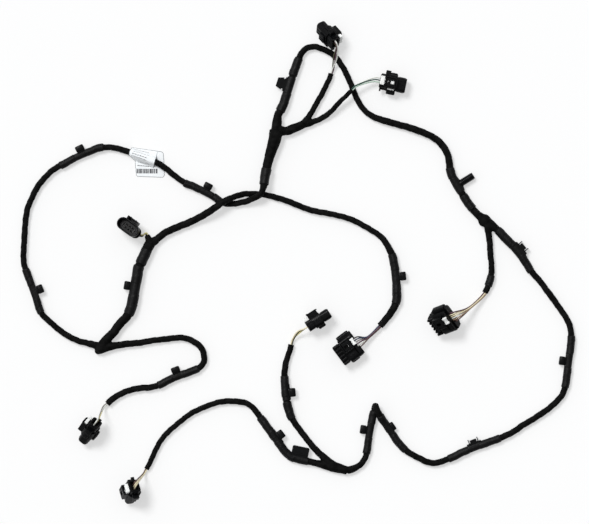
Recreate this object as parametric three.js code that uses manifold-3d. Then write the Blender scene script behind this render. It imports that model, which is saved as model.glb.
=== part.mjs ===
// Wiring harness of a car bumper, laid out flat on a table.
// Taped bundles run between built-up tape wraps and end in eight connectors, each with a
// short fan of bare wires. Sixteen clips and a paper flag label sit on the bundles.
// Millimetres, +Z up. The origin is on the table, under the middle of the harness.

import * as THREE from "three";
import Module from "manifold-3d";
import { mergeVertices } from "three/addons/utils/BufferGeometryUtils.js";

const wasm = await Module();
wasm.setup();

// Fits
const GAP = 0.3; // between pieces that touch
const BAND = 0.6; // what a band of smooth tape adds to a bundle's radius
const TAPE_STEP = 0.8; // length over which a band rises from the cloth

// The routes are drawn on a board plan: x to the right and y down, in steps of this length
const BOARD_STEP = 1.15;
const BOARD_MIDDLE = [297.845, 262.652];

// Radii of the taped bundles
const LOOP_RADIUS = 3.5;
const DROP_RADIUS = 5.4; // the loop bundle's thick start below the top wrap
const TRUNK_RADIUS = 5.2;
const CROSS_RADIUS = 3.5;
const CROSS_THICK_RADIUS = 4.1; // near the three-way wrap and again towards the connector
const LOWER_LEFT_RADIUS = 3.6;
const UPPER_RIGHT_RADIUS = 4.1;
const UPPER_RIGHT_THIN_RADIUS = 3.4; // from the top of its arch to the crossing branch
const RIGHT_SIDE_RADIUS = 3.6;
const RIGHT_DROP_RADIUS = 3.5;
const TOP_RADIUS = 3.1;
const TOP_SIDE_RADIUS = 3.0;
const CENTRE_RADIUS = 3.5;
const BOTTOM_LEFT_RADIUS = 3.5;
const BOTTOM_LEFT_END_RADIUS = 2.8;
const STUB_RADIUS = 3.0;
const FORK_RADIUS = 4.2;

// Facets of the bundles
const BUNDLE_SIDES = 8;
const LONGEST_STEP = 20;
const LARGEST_TURN = 0.38;
const WALK = 1;

// Wires
const WIRE_RADIUS = 0.8;
const WIRE_CLEARANCE = 0.04; // between packed wires, on each side
const WIRE_STEP = 9;
const WIRE_ROOT = 2; // length of the packed part that shows at the end of the tape

const clothTape = 0x19191b;
const smoothTape = 0x262628;
const blackPlastic = 0x141518;
const whitePlastic = 0xe9efec;
const paper = 0xeef1f5;
const brass = 0xb08d57;

const harness = new THREE.Group();

function add(name, geometry, color, roughness = 0.8, metalness = 0, parent = harness) {
  const mesh = new THREE.Mesh(geometry, new THREE.MeshStandardMaterial({ color, roughness, metalness }));
  mesh.name = name;
  parent.add(mesh);
  return mesh;
}

// Solids

// The closed solid inside a geometry. Triangles that have shrunk to a line are left out.
function solidOf(geometry) {
  const plain = new THREE.BufferGeometry();
  plain.setAttribute("position", geometry.getAttribute("position"));
  plain.setIndex(geometry.getIndex());
  const merged = mergeVertices(plain, 1e-4);
  const corners = merged.getIndex().array;
  const kept = [];
  for (let i = 0; i < corners.length; i += 3) {
    const [a, b, c] = corners.subarray(i, i + 3);
    if (a !== b && b !== c && c !== a) kept.push(a, b, c);
  }
  return new wasm.Manifold(new wasm.Mesh({
    numProp: 3,
    vertProperties: new Float32Array(merged.getAttribute("position").array),
    triVerts: new Uint32Array(kept),
  }));
}

function geometryOf(solid) {
  const mesh = solid.getMesh();
  const geometry = new THREE.BufferGeometry();
  geometry.setAttribute("position", new THREE.BufferAttribute(mesh.vertProperties, 3));
  geometry.setIndex(new THREE.BufferAttribute(mesh.triVerts, 1));
  geometry.computeVertexNormals();
  return geometry;
}

function join(...solids) {
  return solids.reduce((whole, solid) => whole.add(solid));
}

// A box from its low corner to its high corner.
function box([x0, y0, z0], [x1, y1, z1]) {
  const geometry = new THREE.BoxGeometry(x1 - x0, y1 - y0, z1 - z0);
  geometry.translate((x0 + x1) / 2, (y0 + y1) / 2, (z0 + z1) / 2);
  return solidOf(geometry);
}

// A rectangle across the forward axis, with round corners; its middle is at y, z.
function roundedSection(width, height, radius, y = 0, z = 0) {
  const right = y + width / 2 - radius;
  const left = y - width / 2 + radius;
  const top = z + height / 2 - radius;
  const bottom = z - height / 2 + radius;
  const shape = new THREE.Shape();
  shape.absarc(right, bottom, radius, -Math.PI / 2, 0);
  shape.absarc(right, top, radius, 0, Math.PI / 2);
  shape.absarc(left, top, radius, Math.PI / 2, Math.PI);
  shape.absarc(left, bottom, radius, Math.PI, 1.5 * Math.PI);
  shape.closePath();
  return shape;
}

// A section in y and z pushed along x from one place to another, with chamfered ends if asked.
function prism(section, from, to, chamfer = 0, cornerSteps = 1) {
  const geometry = new THREE.ExtrudeGeometry(section, {
    depth: to - from - 2 * chamfer,
    curveSegments: cornerSteps,
    bevelEnabled: chamfer > 0,
    bevelSegments: 1,
    bevelThickness: chamfer,
    bevelSize: chamfer,
    bevelOffset: -chamfer,
  });
  const forward = new THREE.Matrix4().makeBasis(
    new THREE.Vector3(0, 1, 0), new THREE.Vector3(0, 0, 1), new THREE.Vector3(1, 0, 0),
  );
  geometry.applyMatrix4(forward);
  geometry.translate(from + chamfer, 0, 0);
  return solidOf(geometry);
}

// Routes

function onBoard(x, y, height) {
  const across = (x - BOARD_MIDDLE[0]) * BOARD_STEP;
  const up = (BOARD_MIDDLE[1] - y) * BOARD_STEP;
  return new THREE.Vector3(across, up, height);
}

// A route lies on the table, apart from where a point gives a lift in millimetres. Its up
// direction is carried along it without a twist, so pieces on one route share their facets.
function makeRoute(points, radius) {
  const table = radius + BAND;
  const places = points.map(([x, y, lift = 0]) => onBoard(x, y, table + lift));
  const curve = new THREE.CatmullRomCurve3(places, false, "centripetal");
  curve.arcLengthDivisions = 24 * points.length;
  const length = curve.getLength();
  const along = (s) => curve.getTangentAt(THREE.MathUtils.clamp(s / length, 0, 1));
  const at = (s) => {
    const place = curve.getPointAt(THREE.MathUtils.clamp(s / length, 0, 1));
    place.z = Math.max(place.z, table);
    return place;
  };
  const carried = [new THREE.Vector3(0, 0, 1).projectOnPlane(along(0)).normalize()];
  const turn = new THREE.Quaternion();
  for (let s = WALK; s < length + WALK; s += WALK) {
    turn.setFromUnitVectors(along(s - WALK), along(s));
    carried.push(carried.at(-1).clone().applyQuaternion(turn));
  }
  const up = (s) => {
    const step = Math.round(THREE.MathUtils.clamp(s, 0, length) / WALK);
    return carried[step].clone().projectOnPlane(along(s)).normalize();
  };
  return { at, along, up, length, radius };
}

// How far along a route its nearest point to a spot of the board is.
function nearest(route, x, y) {
  const spot = onBoard(x, y, 0);
  let best = 0;
  let least = Infinity;
  for (let s = 0; s <= route.length; s += WALK / 2) {
    const place = route.at(s);
    const away = Math.hypot(place.x - spot.x, place.y - spot.y);
    if (away < least) {
      least = away;
      best = s;
    }
  }
  return best;
}

// The radius of a profile, a list of [place, radius], at a place along its route.
function radiusAt(profile, s) {
  const next = profile.findIndex(([place]) => place >= s);
  if (next <= 0) return profile.at(next)[1];
  const [[s0, r0], [s1, r1]] = [profile[next - 1], profile[next]];
  return r0 + (r1 - r0) * (s - s0) / (s1 - s0);
}

// The profile of a bundle: its own radii, raised by the bands.
function profileOf(radii, bands) {
  const base = (s) => radiusAt(radii, s);
  const inBand = (s) => bands.some(([from, to]) => s > from && s < to);
  const profile = radii.filter(([s]) => !inBand(s)).map(([s, r]) => [s, r]);
  for (const [from, to] of bands) {
    profile.push([from, base(from)], [from + TAPE_STEP, base(from) + BAND]);
    profile.push([to - TAPE_STEP, base(to) + BAND], [to, base(to)]);
  }
  return profile.sort((a, b) => a[0] - b[0]);
}

// The rings of a laid bar: every place of the profile, and more where the route is long or bends.
function ringsOf(route, profile) {
  const rings = [profile[0]];
  for (const [place, radius] of profile.slice(1)) {
    const [start, startRadius] = rings.at(-1);
    let last = start;
    for (let s = start + WALK; s < place - WALK; s += WALK) {
      const turn = route.along(s).angleTo(route.along(last));
      if (turn > LARGEST_TURN || s - last > LONGEST_STEP) {
        rings.push([s, startRadius + (radius - startRadius) * (s - start) / (place - start)]);
        last = s;
      }
    }
    rings.push([place, radius]);
  }
  return rings;
}

// A straight bar is turned to the profile, and then laid along the route ring by ring.
function laid(route, profile, grow = 0) {
  const rings = ringsOf(route, profile);
  const outline = [
    new THREE.Vector2(0, rings[0][0]),
    ...rings.map(([s, r]) => new THREE.Vector2(r + grow, s)),
    new THREE.Vector2(0, rings.at(-1)[0]),
  ];
  const bar = new THREE.LatheGeometry(outline, BUNDLE_SIDES);
  const frames = outline.map(({ y }) => {
    const [along, up] = [route.along(y), route.up(y)];
    return { middle: route.at(y), side: along.clone().cross(up), up };
  });
  const position = bar.getAttribute("position");
  for (let i = 0; i < position.count; i += 1) {
    const { middle, side, up } = frames[i % outline.length];
    const place = middle.clone()
      .addScaledVector(side, position.getX(i))
      .addScaledVector(up, position.getZ(i));
    position.setXYZ(i, place.x, place.y, place.z);
  }
  return solidOf(bar);
}

// The plan of the harness. Each point is x, y on the board and, where it is raised, its lift.

const routes = {
  loop: makeRoute([
    [276, 130, 3.4], [275.2, 137.6, 3.2], [272.7, 146.7, 3.1], [269.5, 156.8, 3],
    [266.6, 168.5, 4.4], [264.6, 179.7, 6.6], [263.6, 186.6, 8.4], [262, 192, 9.6], [259, 196, 9],
    [252, 198.8, 5], [247.7, 201, 2.4], [243.1, 202.2, 0.8], [233.5, 203.8], [224, 203.3],
    [218.5, 200.2], [213.2, 196.4], [206, 192.4], [199.7, 189.3], [192.1, 185.9], [184.3, 182.6],
    [174.8, 175.8], [165.8, 168.3], [160.6, 164.7], [155.5, 161.8], [142, 156.8], [129, 152.1],
    [120.2, 149.2], [112, 147.5], [104.7, 147.4], [98.9, 147.9], [92.6, 150.4], [86, 153],
    [79.8, 156], [72.9, 159], [66, 163.2], [58.6, 166.6], [52.1, 170.9], [45.3, 177.5],
    [38.9, 185.2], [34.8, 192.1], [31.6, 199.3], [28.1, 207.5], [26.2, 216.7], [25.2, 228.2],
    [24.5, 240], [23.9, 251.9], [23.9, 262.8], [25.4, 268.6], [27.6, 273.9], [29.9, 280.3],
    [32.2, 286.8], [34.8, 292.8], [36.6, 299.2], [38.7, 305.7], [41.2, 312.4], [45.4, 317.5],
    [50.4, 321.9], [55.7, 326.7], [61.6, 331.6], [70.3, 337.1], [80, 341.4], [89.1, 343.4],
    [98, 346],
  ], LOOP_RADIUS),
  trunk: makeRoute([
    [98.2, 351.3], [104.6, 342], [110, 336.2], [113.5, 332.7], [117, 327.9], [120.7, 322.8],
    [125.4, 318.3], [129.1, 313.1], [131.5, 307], [133, 300.7], [134.1, 293.9], [135.2, 287],
    [136.5, 280.4], [137.6, 273.9], [138.9, 267.7], [141.4, 262.2], [143.5, 257.3],
    [145.8, 252.6], [147.6, 248.1], [150, 244],
  ], TRUNK_RADIUS),
  cross: makeRoute([
    [150, 244, 1], [157.6, 238.8, 0.4], [164.4, 233.2], [178.5, 226.8], [192.3, 221.2, 0.8],
    [204.3, 214.8, 4.5], [214.7, 208.2, 8.6], [223.8, 201.7, 9.6], [234, 197.1, 6.8],
    [238.8, 195.6, 4.6], [243.5, 194.1, 2.4], [248.8, 193.9, 0.8], [254, 193.9], [262, 194.5],
    [267.8, 195.5], [274.2, 197.1], [281.7, 199.2], [289.5, 202], [298.5, 205.5], [307.8, 209.2],
    [316.9, 211.5], [326, 213], [336, 215.2], [345.8, 217.6], [353.8, 220.6], [361.3, 224.5],
    [370.5, 229.7], [378.8, 235.1], [384.2, 240.3], [387.8, 246.4], [390.6, 251.6],
    [392.8, 257.3], [394.1, 263.5], [395, 270.1], [396.2, 280], [396.6, 290], [396.8, 296.8],
    [395.9, 303], [393.6, 307.8], [390.9, 312.6], [385.8, 319.2], [380, 326],
  ], CROSS_THICK_RADIUS),
  lowerLeft: makeRoute([
    [98.5, 350], [110, 346.4], [116.9, 345.4], [124.5, 344.1], [140, 342.7], [155.5, 340.1],
    [164.2, 339.2], [172, 338.2], [179.2, 337.6], [185.8, 338.2], [191.7, 340.4], [197, 343.6],
    [201.7, 348.2], [204, 354.7], [204.2, 360.3], [202.4, 365], [198.4, 368.2], [193.9, 370.2],
    [188.2, 372.5], [181.8, 374.6], [171.5, 378.6], [166.3, 381.4], [160.6, 384.3],
    [150.7, 387.3], [140.2, 388], [132, 389.6], [124.5, 392.1], [118.6, 395.2], [113.4, 398.2],
    [110.5, 400.9], [107.4, 403.7],
  ], LOWER_LEFT_RADIUS),
  upperRight: makeRoute([
    [276, 130, 3.2], [277, 122, 2.4], [277.9, 115.9], [280.8, 109.9], [283.6, 103.9],
    [285.8, 97.2], [288.4, 89], [291.2, 80.2], [293.9, 71.9], [296.7, 64.1], [299, 58.4],
    [301.4, 53.6], [304.4, 50], [308.4, 47.6], [312.6, 46.9], [316.9, 47.2], [321.9, 48.9],
    [327.5, 51.3], [333, 55], [337.6, 59.6], [341.2, 65], [344.5, 70.5], [347.4, 76.7],
    [350.2, 82.7], [352.7, 89], [355.3, 95.6], [358.4, 101.9], [362.3, 108], [368, 113.6],
    [375, 117.7], [383.7, 120.6], [394.5, 123.7], [405.6, 126.7], [415.5, 129.9], [424.6, 133.3],
    [431.4, 136.5], [437.5, 140.4], [442.5, 145.8], [446.3, 151.8], [448.2, 157], [449.2, 162.1],
    [449.6, 167.6], [450.7, 173], [453, 178.4], [456, 184.5], [461.2, 192.4], [464.9, 198.6],
    [468.6, 204.1], [472.4, 209], [476.7, 213.8], [481.9, 218.1], [487.5, 221.8, 0.4],
  ], UPPER_RIGHT_RADIUS),
  rightSide: makeRoute([
    [487.5, 221.8, 0.9], [497.3, 230, 0.2], [502.9, 235.7], [508.6, 241.6], [514, 246.7],
    [518.9, 251.8], [522.7, 257.9], [526.3, 263.8], [529.5, 269.3], [533.4, 274], [537.4, 278.5],
    [541.6, 283.3], [545.2, 288.6], [549.3, 294], [554.4, 300.9], [559.5, 308.1], [564, 314.6],
    [567.8, 321.3], [570.2, 327.7], [571, 334.7], [570.9, 341.7], [570.2, 349], [569, 357.6],
    [567.8, 366], [566.8, 374.1], [565.6, 381.8], [564.5, 388], [562.6, 393.5], [559.5, 398.2],
    [555.6, 402.4], [550.6, 406.6], [545.4, 410.9], [539.5, 414.7], [533.6, 418.6],
    [527.6, 422.2], [521.6, 425.8], [515.7, 430], [509.6, 433.6], [504.3, 436], [499.2, 438.2],
    [494.3, 440.1], [489.1, 441.7], [481.9, 444.4], [474.6, 447.1], [468.5, 449.5],
    [462.7, 451.9], [457.8, 454.3], [453.3, 456.8], [447.8, 459], [442.3, 461], [437.6, 462.5],
    [432, 462.9], [426.2, 461.6], [420.1, 458.5], [413, 454.9], [406.3, 450.5], [401.5, 446.1],
    [397.4, 441.3], [393.9, 436.3], [390.7, 431.6], [388.2, 427.8], [385.6, 424.2, 0.8],
    [382.9, 420.4, 2.4], [380.4, 416.2, 5], [377.4, 410.2, 8.6], [376, 407.2, 8.4],
    [375.2, 405.2, 4.9], [374.9, 407, 1.2], [374.2, 410.4], [372.6, 416.6], [371.5, 421.9],
    [370.3, 427], [369.4, 432.5], [368.6, 438], [367.8, 443.1], [367.2, 448], [366.5, 452.7],
    [365.2, 457.6], [362.6, 462], [358.6, 465.8], [353, 468.6], [347, 470.2, 0.4],
  ], RIGHT_SIDE_RADIUS),
  rightDrop: makeRoute([
    [487.5, 221.8, 1], [488.4, 234, 0.2], [489.6, 242.8], [490.1, 251.9], [490.8, 259.1],
    [491.5, 266], [491.3, 273.1], [490.1, 279.9], [487.9, 286.2], [485, 292.7],
  ], RIGHT_DROP_RADIUS),
  fork: makeRoute([
    [276, 130, 2.6], [284.9, 131.4, 1.4], [289.5, 130.4, 0.6], [293.8, 128.4], [299.3, 126.4],
    [303.7, 124],
  ], FORK_RADIUS),
  top: makeRoute([
    [303.7, 124, 0.6], [309.8, 115.4], [313.7, 108.6], [317.7, 101.3], [321.7, 94.4],
    [325.2, 87.4], [328.6, 80.8], [331.2, 73.8],
  ], TOP_RADIUS),
  topSide: makeRoute([
    [303.7, 124, 0.6], [308.6, 123.4], [314.2, 121.6], [319.6, 119.4, 0.6], [324.8, 116.4, 1.6],
    [330.4, 112.2, 3.4], [335.4, 107, 5.6], [340, 101.9, 7.6], [344.8, 97.4, 9.2],
    [348.5, 93.7, 10.2], [352, 90, 10.6],
  ], TOP_SIDE_RADIUS),
  centre: makeRoute([
    [347, 470.2, 0.6], [332.6, 464.2, 0.2], [319.6, 453.4], [312.8, 446.4], [306.4, 438.4],
    [300.9, 431.4], [295.9, 424.6], [291.7, 417.7], [289, 410.7], [287.3, 404.3], [286.2, 398],
    [285.4, 391], [284.9, 384], [284.5, 377], [284.8, 370], [285.9, 363], [287.7, 356.4],
    [289.7, 350.7], [291.3, 344.6],
  ], CENTRE_RADIUS),
  bottomLeft: makeRoute([
    [347, 470.2, 0.6], [331.5, 467.4, 0.2], [316, 462.9], [301.7, 460.2], [294.4, 458.4],
    [290, 456], [286, 452.4], [281.8, 447], [277, 440.3], [272.2, 433.9], [267.9, 427.8],
    [263.8, 422], [259.8, 416.7], [256.3, 411.5], [252.8, 407.4], [248.6, 404.2], [243.9, 402.4],
    [238.8, 401.6], [232.7, 401.1], [226.1, 401.1], [217.7, 402.3], [209.2, 405.2],
    [199.9, 408.9], [190.9, 413.4], [183.3, 419.1], [176.1, 425], [168.9, 431.2], [162.8, 437.9],
    [158.1, 445.2], [154.4, 452.9], [150.7, 461.1], [146.6, 469],
  ], BOTTOM_LEFT_RADIUS),
  stub: makeRoute([
    [150, 244, 2], [148.6, 239.4, 0.8], [146.4, 234],
  ], STUB_RADIUS),
};

// Wraps: the built-up tape where bundles split. Each arm runs out along its route until the
// bundles are clear of each other, and the bundle begins one gap further on.

const FORK_SPLIT = 12; // how much of the fork's route belongs to the top wrap

const wraps = {
  wrap_lower_left: [
    { route: routes.loop, from: "end", length: 14, radius: LOOP_RADIUS, foot: 3.9 },
    { route: routes.trunk, from: "start", length: 26, radius: TRUNK_RADIUS, foot: 3.9 },
    { route: routes.lowerLeft, from: "start", length: 24, radius: LOWER_LEFT_RADIUS, foot: 3.9 },
  ],
  wrap_three_way: [
    { route: routes.trunk, from: "end", length: 9, radius: TRUNK_RADIUS, foot: 5.5 },
    { route: routes.cross, from: "start", length: 10, radius: CROSS_THICK_RADIUS, foot: 5 },
    { route: routes.stub, from: "start", length: routes.stub.length, radius: 2.6, foot: 3.4 },
  ],
  wrap_top: [
    { route: routes.loop, from: "start", length: 34, radius: DROP_RADIUS, foot: 7.2 },
    { route: routes.upperRight, from: "start", length: 17, radius: UPPER_RIGHT_RADIUS, foot: 5.4 },
    { route: routes.fork, from: "start", length: FORK_SPLIT, radius: FORK_RADIUS, foot: 5.4 },
  ],
  wrap_top_fork: [
    {
      route: routes.fork,
      from: "end",
      length: routes.fork.length - FORK_SPLIT - GAP,
      radius: FORK_RADIUS,
      foot: 4.3,
    },
    { route: routes.top, from: "start", length: 12, radius: TOP_RADIUS, foot: 3.8 },
    { route: routes.topSide, from: "start", length: 12, radius: TOP_SIDE_RADIUS, foot: 3.8 },
  ],
  wrap_right: [
    { route: routes.upperRight, from: "end", length: 14, radius: UPPER_RIGHT_RADIUS, foot: 5 },
    { route: routes.rightSide, from: "start", length: 14, radius: RIGHT_SIDE_RADIUS, foot: 5 },
    { route: routes.rightDrop, from: "start", length: 14, radius: RIGHT_DROP_RADIUS, foot: 5 },
  ],
  wrap_bottom: [
    { route: routes.rightSide, from: "end", length: 12, radius: RIGHT_SIDE_RADIUS, foot: 4.4 },
    { route: routes.centre, from: "start", length: 37, radius: CENTRE_RADIUS, foot: 4.4 },
    { route: routes.bottomLeft, from: "start", length: 37, radius: BOTTOM_LEFT_RADIUS, foot: 4.4 },
  ],
};

for (const [name, arms] of Object.entries(wraps)) {
  const pieces = arms.map(({ route, from, length, radius, foot }) => {
    const profile = from === "start"
      ? [[0, foot], [length, radius]]
      : [[route.length - length, radius], [route.length, foot]];
    return laid(route, profile);
  });
  const { route, from, foot } = arms[0];
  const knot = new THREE.IcosahedronGeometry(foot, 1);
  knot.translate(...route.at(from === "start" ? 0 : route.length).toArray());
  add(name, geometryOf(join(solidOf(knot), ...pieces)), smoothTape);
}

// How much of a route is inside a wrap at its start or end.
function wrapped(route, end) {
  for (const arms of Object.values(wraps)) {
    const arm = arms.find((candidate) => candidate.route === route && candidate.from === end);
    if (arm) return arm.length + GAP;
  }
  return 0;
}

// Bundles. Each band is given by the board spots where it begins and ends, and a radius that
// changes by the board spots where it is known.
const bundles = {
  loop_bundle: {
    route: routes.loop,
    radii: [[268, 162, DROP_RADIUS], [262.4, 189, LOOP_RADIUS]],
    bands: [
      [263.8, 168, 263.4, 185], [222, 202.6, 213.2, 196.4], [201, 189.9, 184.3, 182.6],
      [104, 147.4, 84.6, 154], [75, 158, 60, 166], [25.4, 269, 31.8, 285.4], [36.2, 298, 41.4, 313],
    ],
  },
  trunk_bundle: {
    route: routes.trunk,
    bands: [[128.4, 314.4, 134, 294], [136, 283.6, 139.4, 265.6], [140.6, 264, 145.8, 252.6]],
  },
  cross_bundle: {
    route: routes.cross,
    radii: [
      [204, 215, CROSS_THICK_RADIUS], [238, 196, CROSS_RADIUS], [382, 238, CROSS_RADIUS],
      [391, 253, CROSS_THICK_RADIUS],
    ],
    bands: [[391.8, 254.6, 395.2, 271], [396.4, 284, 395.6, 304]],
  },
  lower_left_bundle: {
    route: routes.lowerLeft,
    bands: [[198.4, 368.2, 180.6, 375], [173.4, 378, 157.6, 385.4]],
  },
  upper_right_bundle: {
    route: routes.upperRight,
    radii: [
      [298, 61, UPPER_RIGHT_RADIUS], [305, 49.6, UPPER_RIGHT_THIN_RADIUS],
      [368, 113.6, UPPER_RIGHT_THIN_RADIUS], [384, 120.7, UPPER_RIGHT_RADIUS],
    ],
    bands: [
      [279.8, 111.6, 287.2, 92.4], [292.6, 76, 298, 61], [449.6, 168, 453, 178.4],
      [462.6, 195, 472.8, 209.6],
    ],
  },
  right_side_bundle: {
    route: routes.rightSide,
    bands: [
      [500, 232.8, 514, 246.6], [520.4, 254.4, 531, 271.4], [571, 335, 569.4, 355],
      [567.8, 367, 564.6, 387.4], [500, 438, 478.6, 445.6], [469, 449.2, 448, 459],
      [406, 450.3, 392.4, 434], [390.4, 431, 382.4, 419.6], [373, 414.6, 371, 424],
      [368.8, 437, 366.2, 454],
    ],
  },
  right_drop_bundle: { route: routes.rightDrop, bands: [[491.2, 275, 487.8, 286.4]] },
  top_bundle: { route: routes.top, bands: [] },
  top_side_bundle: { route: routes.topSide, bands: [] },
  centre_bundle: {
    route: routes.centre,
    bands: [[292.4, 419, 286.8, 401.6], [286, 397, 284.5, 376]],
  },
  bottom_left_bundle: {
    route: routes.bottomLeft,
    radii: [[200, 409, BOTTOM_LEFT_RADIUS], [147, 468, BOTTOM_LEFT_END_RADIUS]],
    bands: [[295, 458.6, 277.2, 440.6], [275.4, 438.2, 259.8, 416.8]],
  },
};

for (const [name, bundle] of Object.entries(bundles)) {
  const { route, bands, radii = [] } = bundle;
  const start = wrapped(route, "start");
  const end = route.length - wrapped(route, "end");
  const known = radii.map(([x, y, radius]) => [nearest(route, x, y), radius]);
  const own = [
    [start, known[0]?.[1] ?? route.radius],
    ...known.filter(([place]) => place > start && place < end),
    [end, known.at(-1)?.[1] ?? route.radius],
  ];
  const places = bands.map(([x0, y0, x1, y1]) => [nearest(route, x0, y0), nearest(route, x1, y1)]);
  bundle.profile = profileOf(own, places);
  add(name, geometryOf(laid(route, bundle.profile)), clothTape);
}

// Clips. Each is made with x along its bundle, y out from it and z up, from the bundle's
// middle, and its foot is cut to sit on the bundle.

const CLIP_HEIGHT = 7.6;
const CLIP_HALF = 5.4; // half the length of a clip's collar
const CLIP_NECK_HALF = 3.4;
const CLIP_REACH = 6.6; // how far a clip stands out from its bundle
const FOOT_LENGTH = 17;
const FOOT_WALL = 1.2;

// A half outline in x and y, closed by its mirror image, pushed through in z.
function mirrored(half, height) {
  const points = [...half, ...half.map(([x, y]) => [-x, y]).reverse()];
  const shape = new THREE.Shape(points.map(([x, y]) => new THREE.Vector2(x, y)));
  const geometry = new THREE.ExtrudeGeometry(shape, { depth: height, bevelEnabled: false });
  geometry.translate(0, 0, -height / 2);
  return solidOf(geometry);
}

// A collar, a neck and a square barbed head.
function edgeClip(seat) {
  const out = seat + CLIP_REACH;
  return mirrored([
    [CLIP_HALF, seat - 1], [CLIP_HALF, seat + 1.6], [CLIP_NECK_HALF, seat + 1.6],
    [CLIP_NECK_HALF, seat + 2.6], [CLIP_HALF - 0.4, seat + 3.2], [CLIP_NECK_HALF, out],
  ], CLIP_HEIGHT);
}

// A collar and a long tapered plug.
function plugClip(seat) {
  return mirrored([
    [6.8, seat - 1], [6.8, seat + 1.8], [5.6, seat + 1.8], [5.6, seat + 2.8], [7.2, seat + 3.4],
    [5, seat + 10],
  ], CLIP_HEIGHT);
}

// A stud with a stack of cone-shaped fins behind a pointed tip.
function studClip(seat) {
  const shank = 1.8;
  const fin = 3.4;
  const finPitch = 2.6;
  const finCount = 5;
  const profile = [[0, seat - 1], [3.8, seat - 1], [3.8, seat + 1.6], [shank, seat + 1.6]];
  for (let i = 0; i < finCount; i += 1) {
    const root = seat + 3.2 + i * finPitch;
    profile.push([shank, root], [fin, root + 0.5], [shank, root + 1.7]);
  }
  profile.push([0, seat + 3.2 + finCount * finPitch + 1]);
  return solidOf(new THREE.LatheGeometry(profile.map(([r, y]) => new THREE.Vector2(r, y)), 10));
}

// A block between two thin fins that grip a slot.
function finClip(seat) {
  return mirrored([
    [5.8, seat - 1], [5.8, seat + 6], [4.9, seat + 6], [4.9, seat + 1.4], [3.8, seat + 1.4],
    [3.8, seat + 4.6],
  ], CLIP_HEIGHT);
}

// A box-shaped holder with a ridge along it and chamfered ends.
function boxClip(seat) {
  const half = 9.8;
  const out = seat + 11;
  const outer = mirrored([[half, seat - 1], [half, out - 1.2], [half - 1.2, out]], 8);
  const ridge = box([-half + 1, seat + 1.6, 3.5], [half - 1, seat + 3.2, 5]);
  return outer.add(ridge);
}

// A plate with a round eye through it.
function eyeClip(seat) {
  const plate = mirrored([[6, seat - 1], [6, seat + 4], [4, seat + 6.4]], CLIP_HEIGHT);
  const eye = new THREE.CylinderGeometry(1.5, 1.5, 2 * CLIP_HEIGHT, 8);
  eye.rotateX(Math.PI / 2);
  eye.translate(0, seat + 3, 0);
  return plate.subtract(solidOf(eye));
}

const clips = [
  { name: "edge_clip_1", bundle: "loop_bundle", at: [80.4, 150.4], make: edgeClip },
  { name: "edge_clip_2", bundle: "loop_bundle", at: [39.5, 289.4], make: edgeClip },
  { name: "edge_clip_3", bundle: "trunk_bundle", at: [131, 286.6], make: edgeClip },
  { name: "edge_clip_4", bundle: "loop_bundle", at: [209.6, 186], make: edgeClip },
  { name: "edge_clip_5", bundle: "cross_bundle", at: [402, 276.6], make: edgeClip },
  { name: "edge_clip_6", bundle: "right_side_bundle", at: [563.4, 360.6], make: edgeClip },
  { name: "edge_clip_7", bundle: "centre_bundle", at: [292.6, 391.4], make: edgeClip },
  { name: "edge_clip_8", bundle: "lower_left_bundle", at: [176, 370], make: edgeClip },
  { name: "edge_clip_9", bundle: "bottom_left_bundle", at: [279, 435.4], make: edgeClip },
  { name: "edge_clip_10", bundle: "right_side_bundle", at: [364.3, 429.6], make: edgeClip },
  { name: "plug_clip", bundle: "upper_right_bundle", at: [281.3, 83.2], make: plugClip },
  { name: "stud_clip", bundle: "upper_right_bundle", at: [466, 180], make: studClip },
  { name: "fin_clip_1", bundle: "right_side_bundle", at: [523, 246.6], make: finClip },
  { name: "fin_clip_2", bundle: "right_side_bundle", at: [473.6, 443], make: finClip },
  { name: "box_clip", bundle: "bottom_left_bundle", at: [300.6, 450], make: boxClip },
  { name: "eye_clip", bundle: "right_side_bundle", at: [392.4, 425.6], make: eyeClip },
];

for (const { name, bundle, at, make } of clips) {
  const { route, profile } = bundles[bundle];
  const s = nearest(route, ...at);
  const middle = route.at(s);
  const along = route.along(s).setZ(0).normalize();
  const up = new THREE.Vector3(0, 0, 1);
  const out = up.clone().cross(along);
  if (out.dot(onBoard(...at, middle.z).sub(middle)) < 0) {
    along.negate();
    out.negate();
  }
  const frame = new THREE.Matrix4().makeBasis(along, out, up).setPosition(middle);
  const seat = Math.max(radiusAt(profile, s), route.radius + BAND) + GAP;
  const foot = box(
    [-FOOT_LENGTH / 2, 0, -seat * 0.6], [FOOT_LENGTH / 2, seat + FOOT_WALL, seat * 0.6],
  );
  const placed = join(make(seat), foot).transform(frame.elements);
  const seated = placed.subtract(laid(route, profile, GAP));
  const [largest] = seated.decompose().sort((a, b) => b.volume() - a.volume());
  add(name, geometryOf(largest), blackPlastic, 0.5);
}

// Connectors. Each housing is made with x forward to its mating face from the middle of its
// rear face, y to its left and z up to its latch.

// The small sealed connector
const NOSE_LENGTH = 31;
const NOSE_WIDTH = 16.8;
const NOSE_HEIGHT = 11.2;
const NOSE_CORNER = 3.6;
const SHROUD_FROM = 9;
const SHROUD_TO = 20;
const SHROUD_WALL = 1.1;
const SHROUD_GAP = 0.9;
const SHROUD_DEPTH = 7;
const CORE_WIDTH = 15.4;
const CORE_HEIGHT = 12.4;
const RECESS_DEPTH = 4.5;
const WING_THICKNESS = 8;
const LATCH_RISE = 5; // from the shroud's top to the top of the latch rails
const KEEL_DEPTH = 2.1; // how far the keel stands below the shroud
const RAIL_WALL = 1.5;
const LATCH_WIDTH = 9.4;
const LATCH_THICKNESS = 1.3;
const LOCK_THICKNESS = 1.1;

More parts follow.
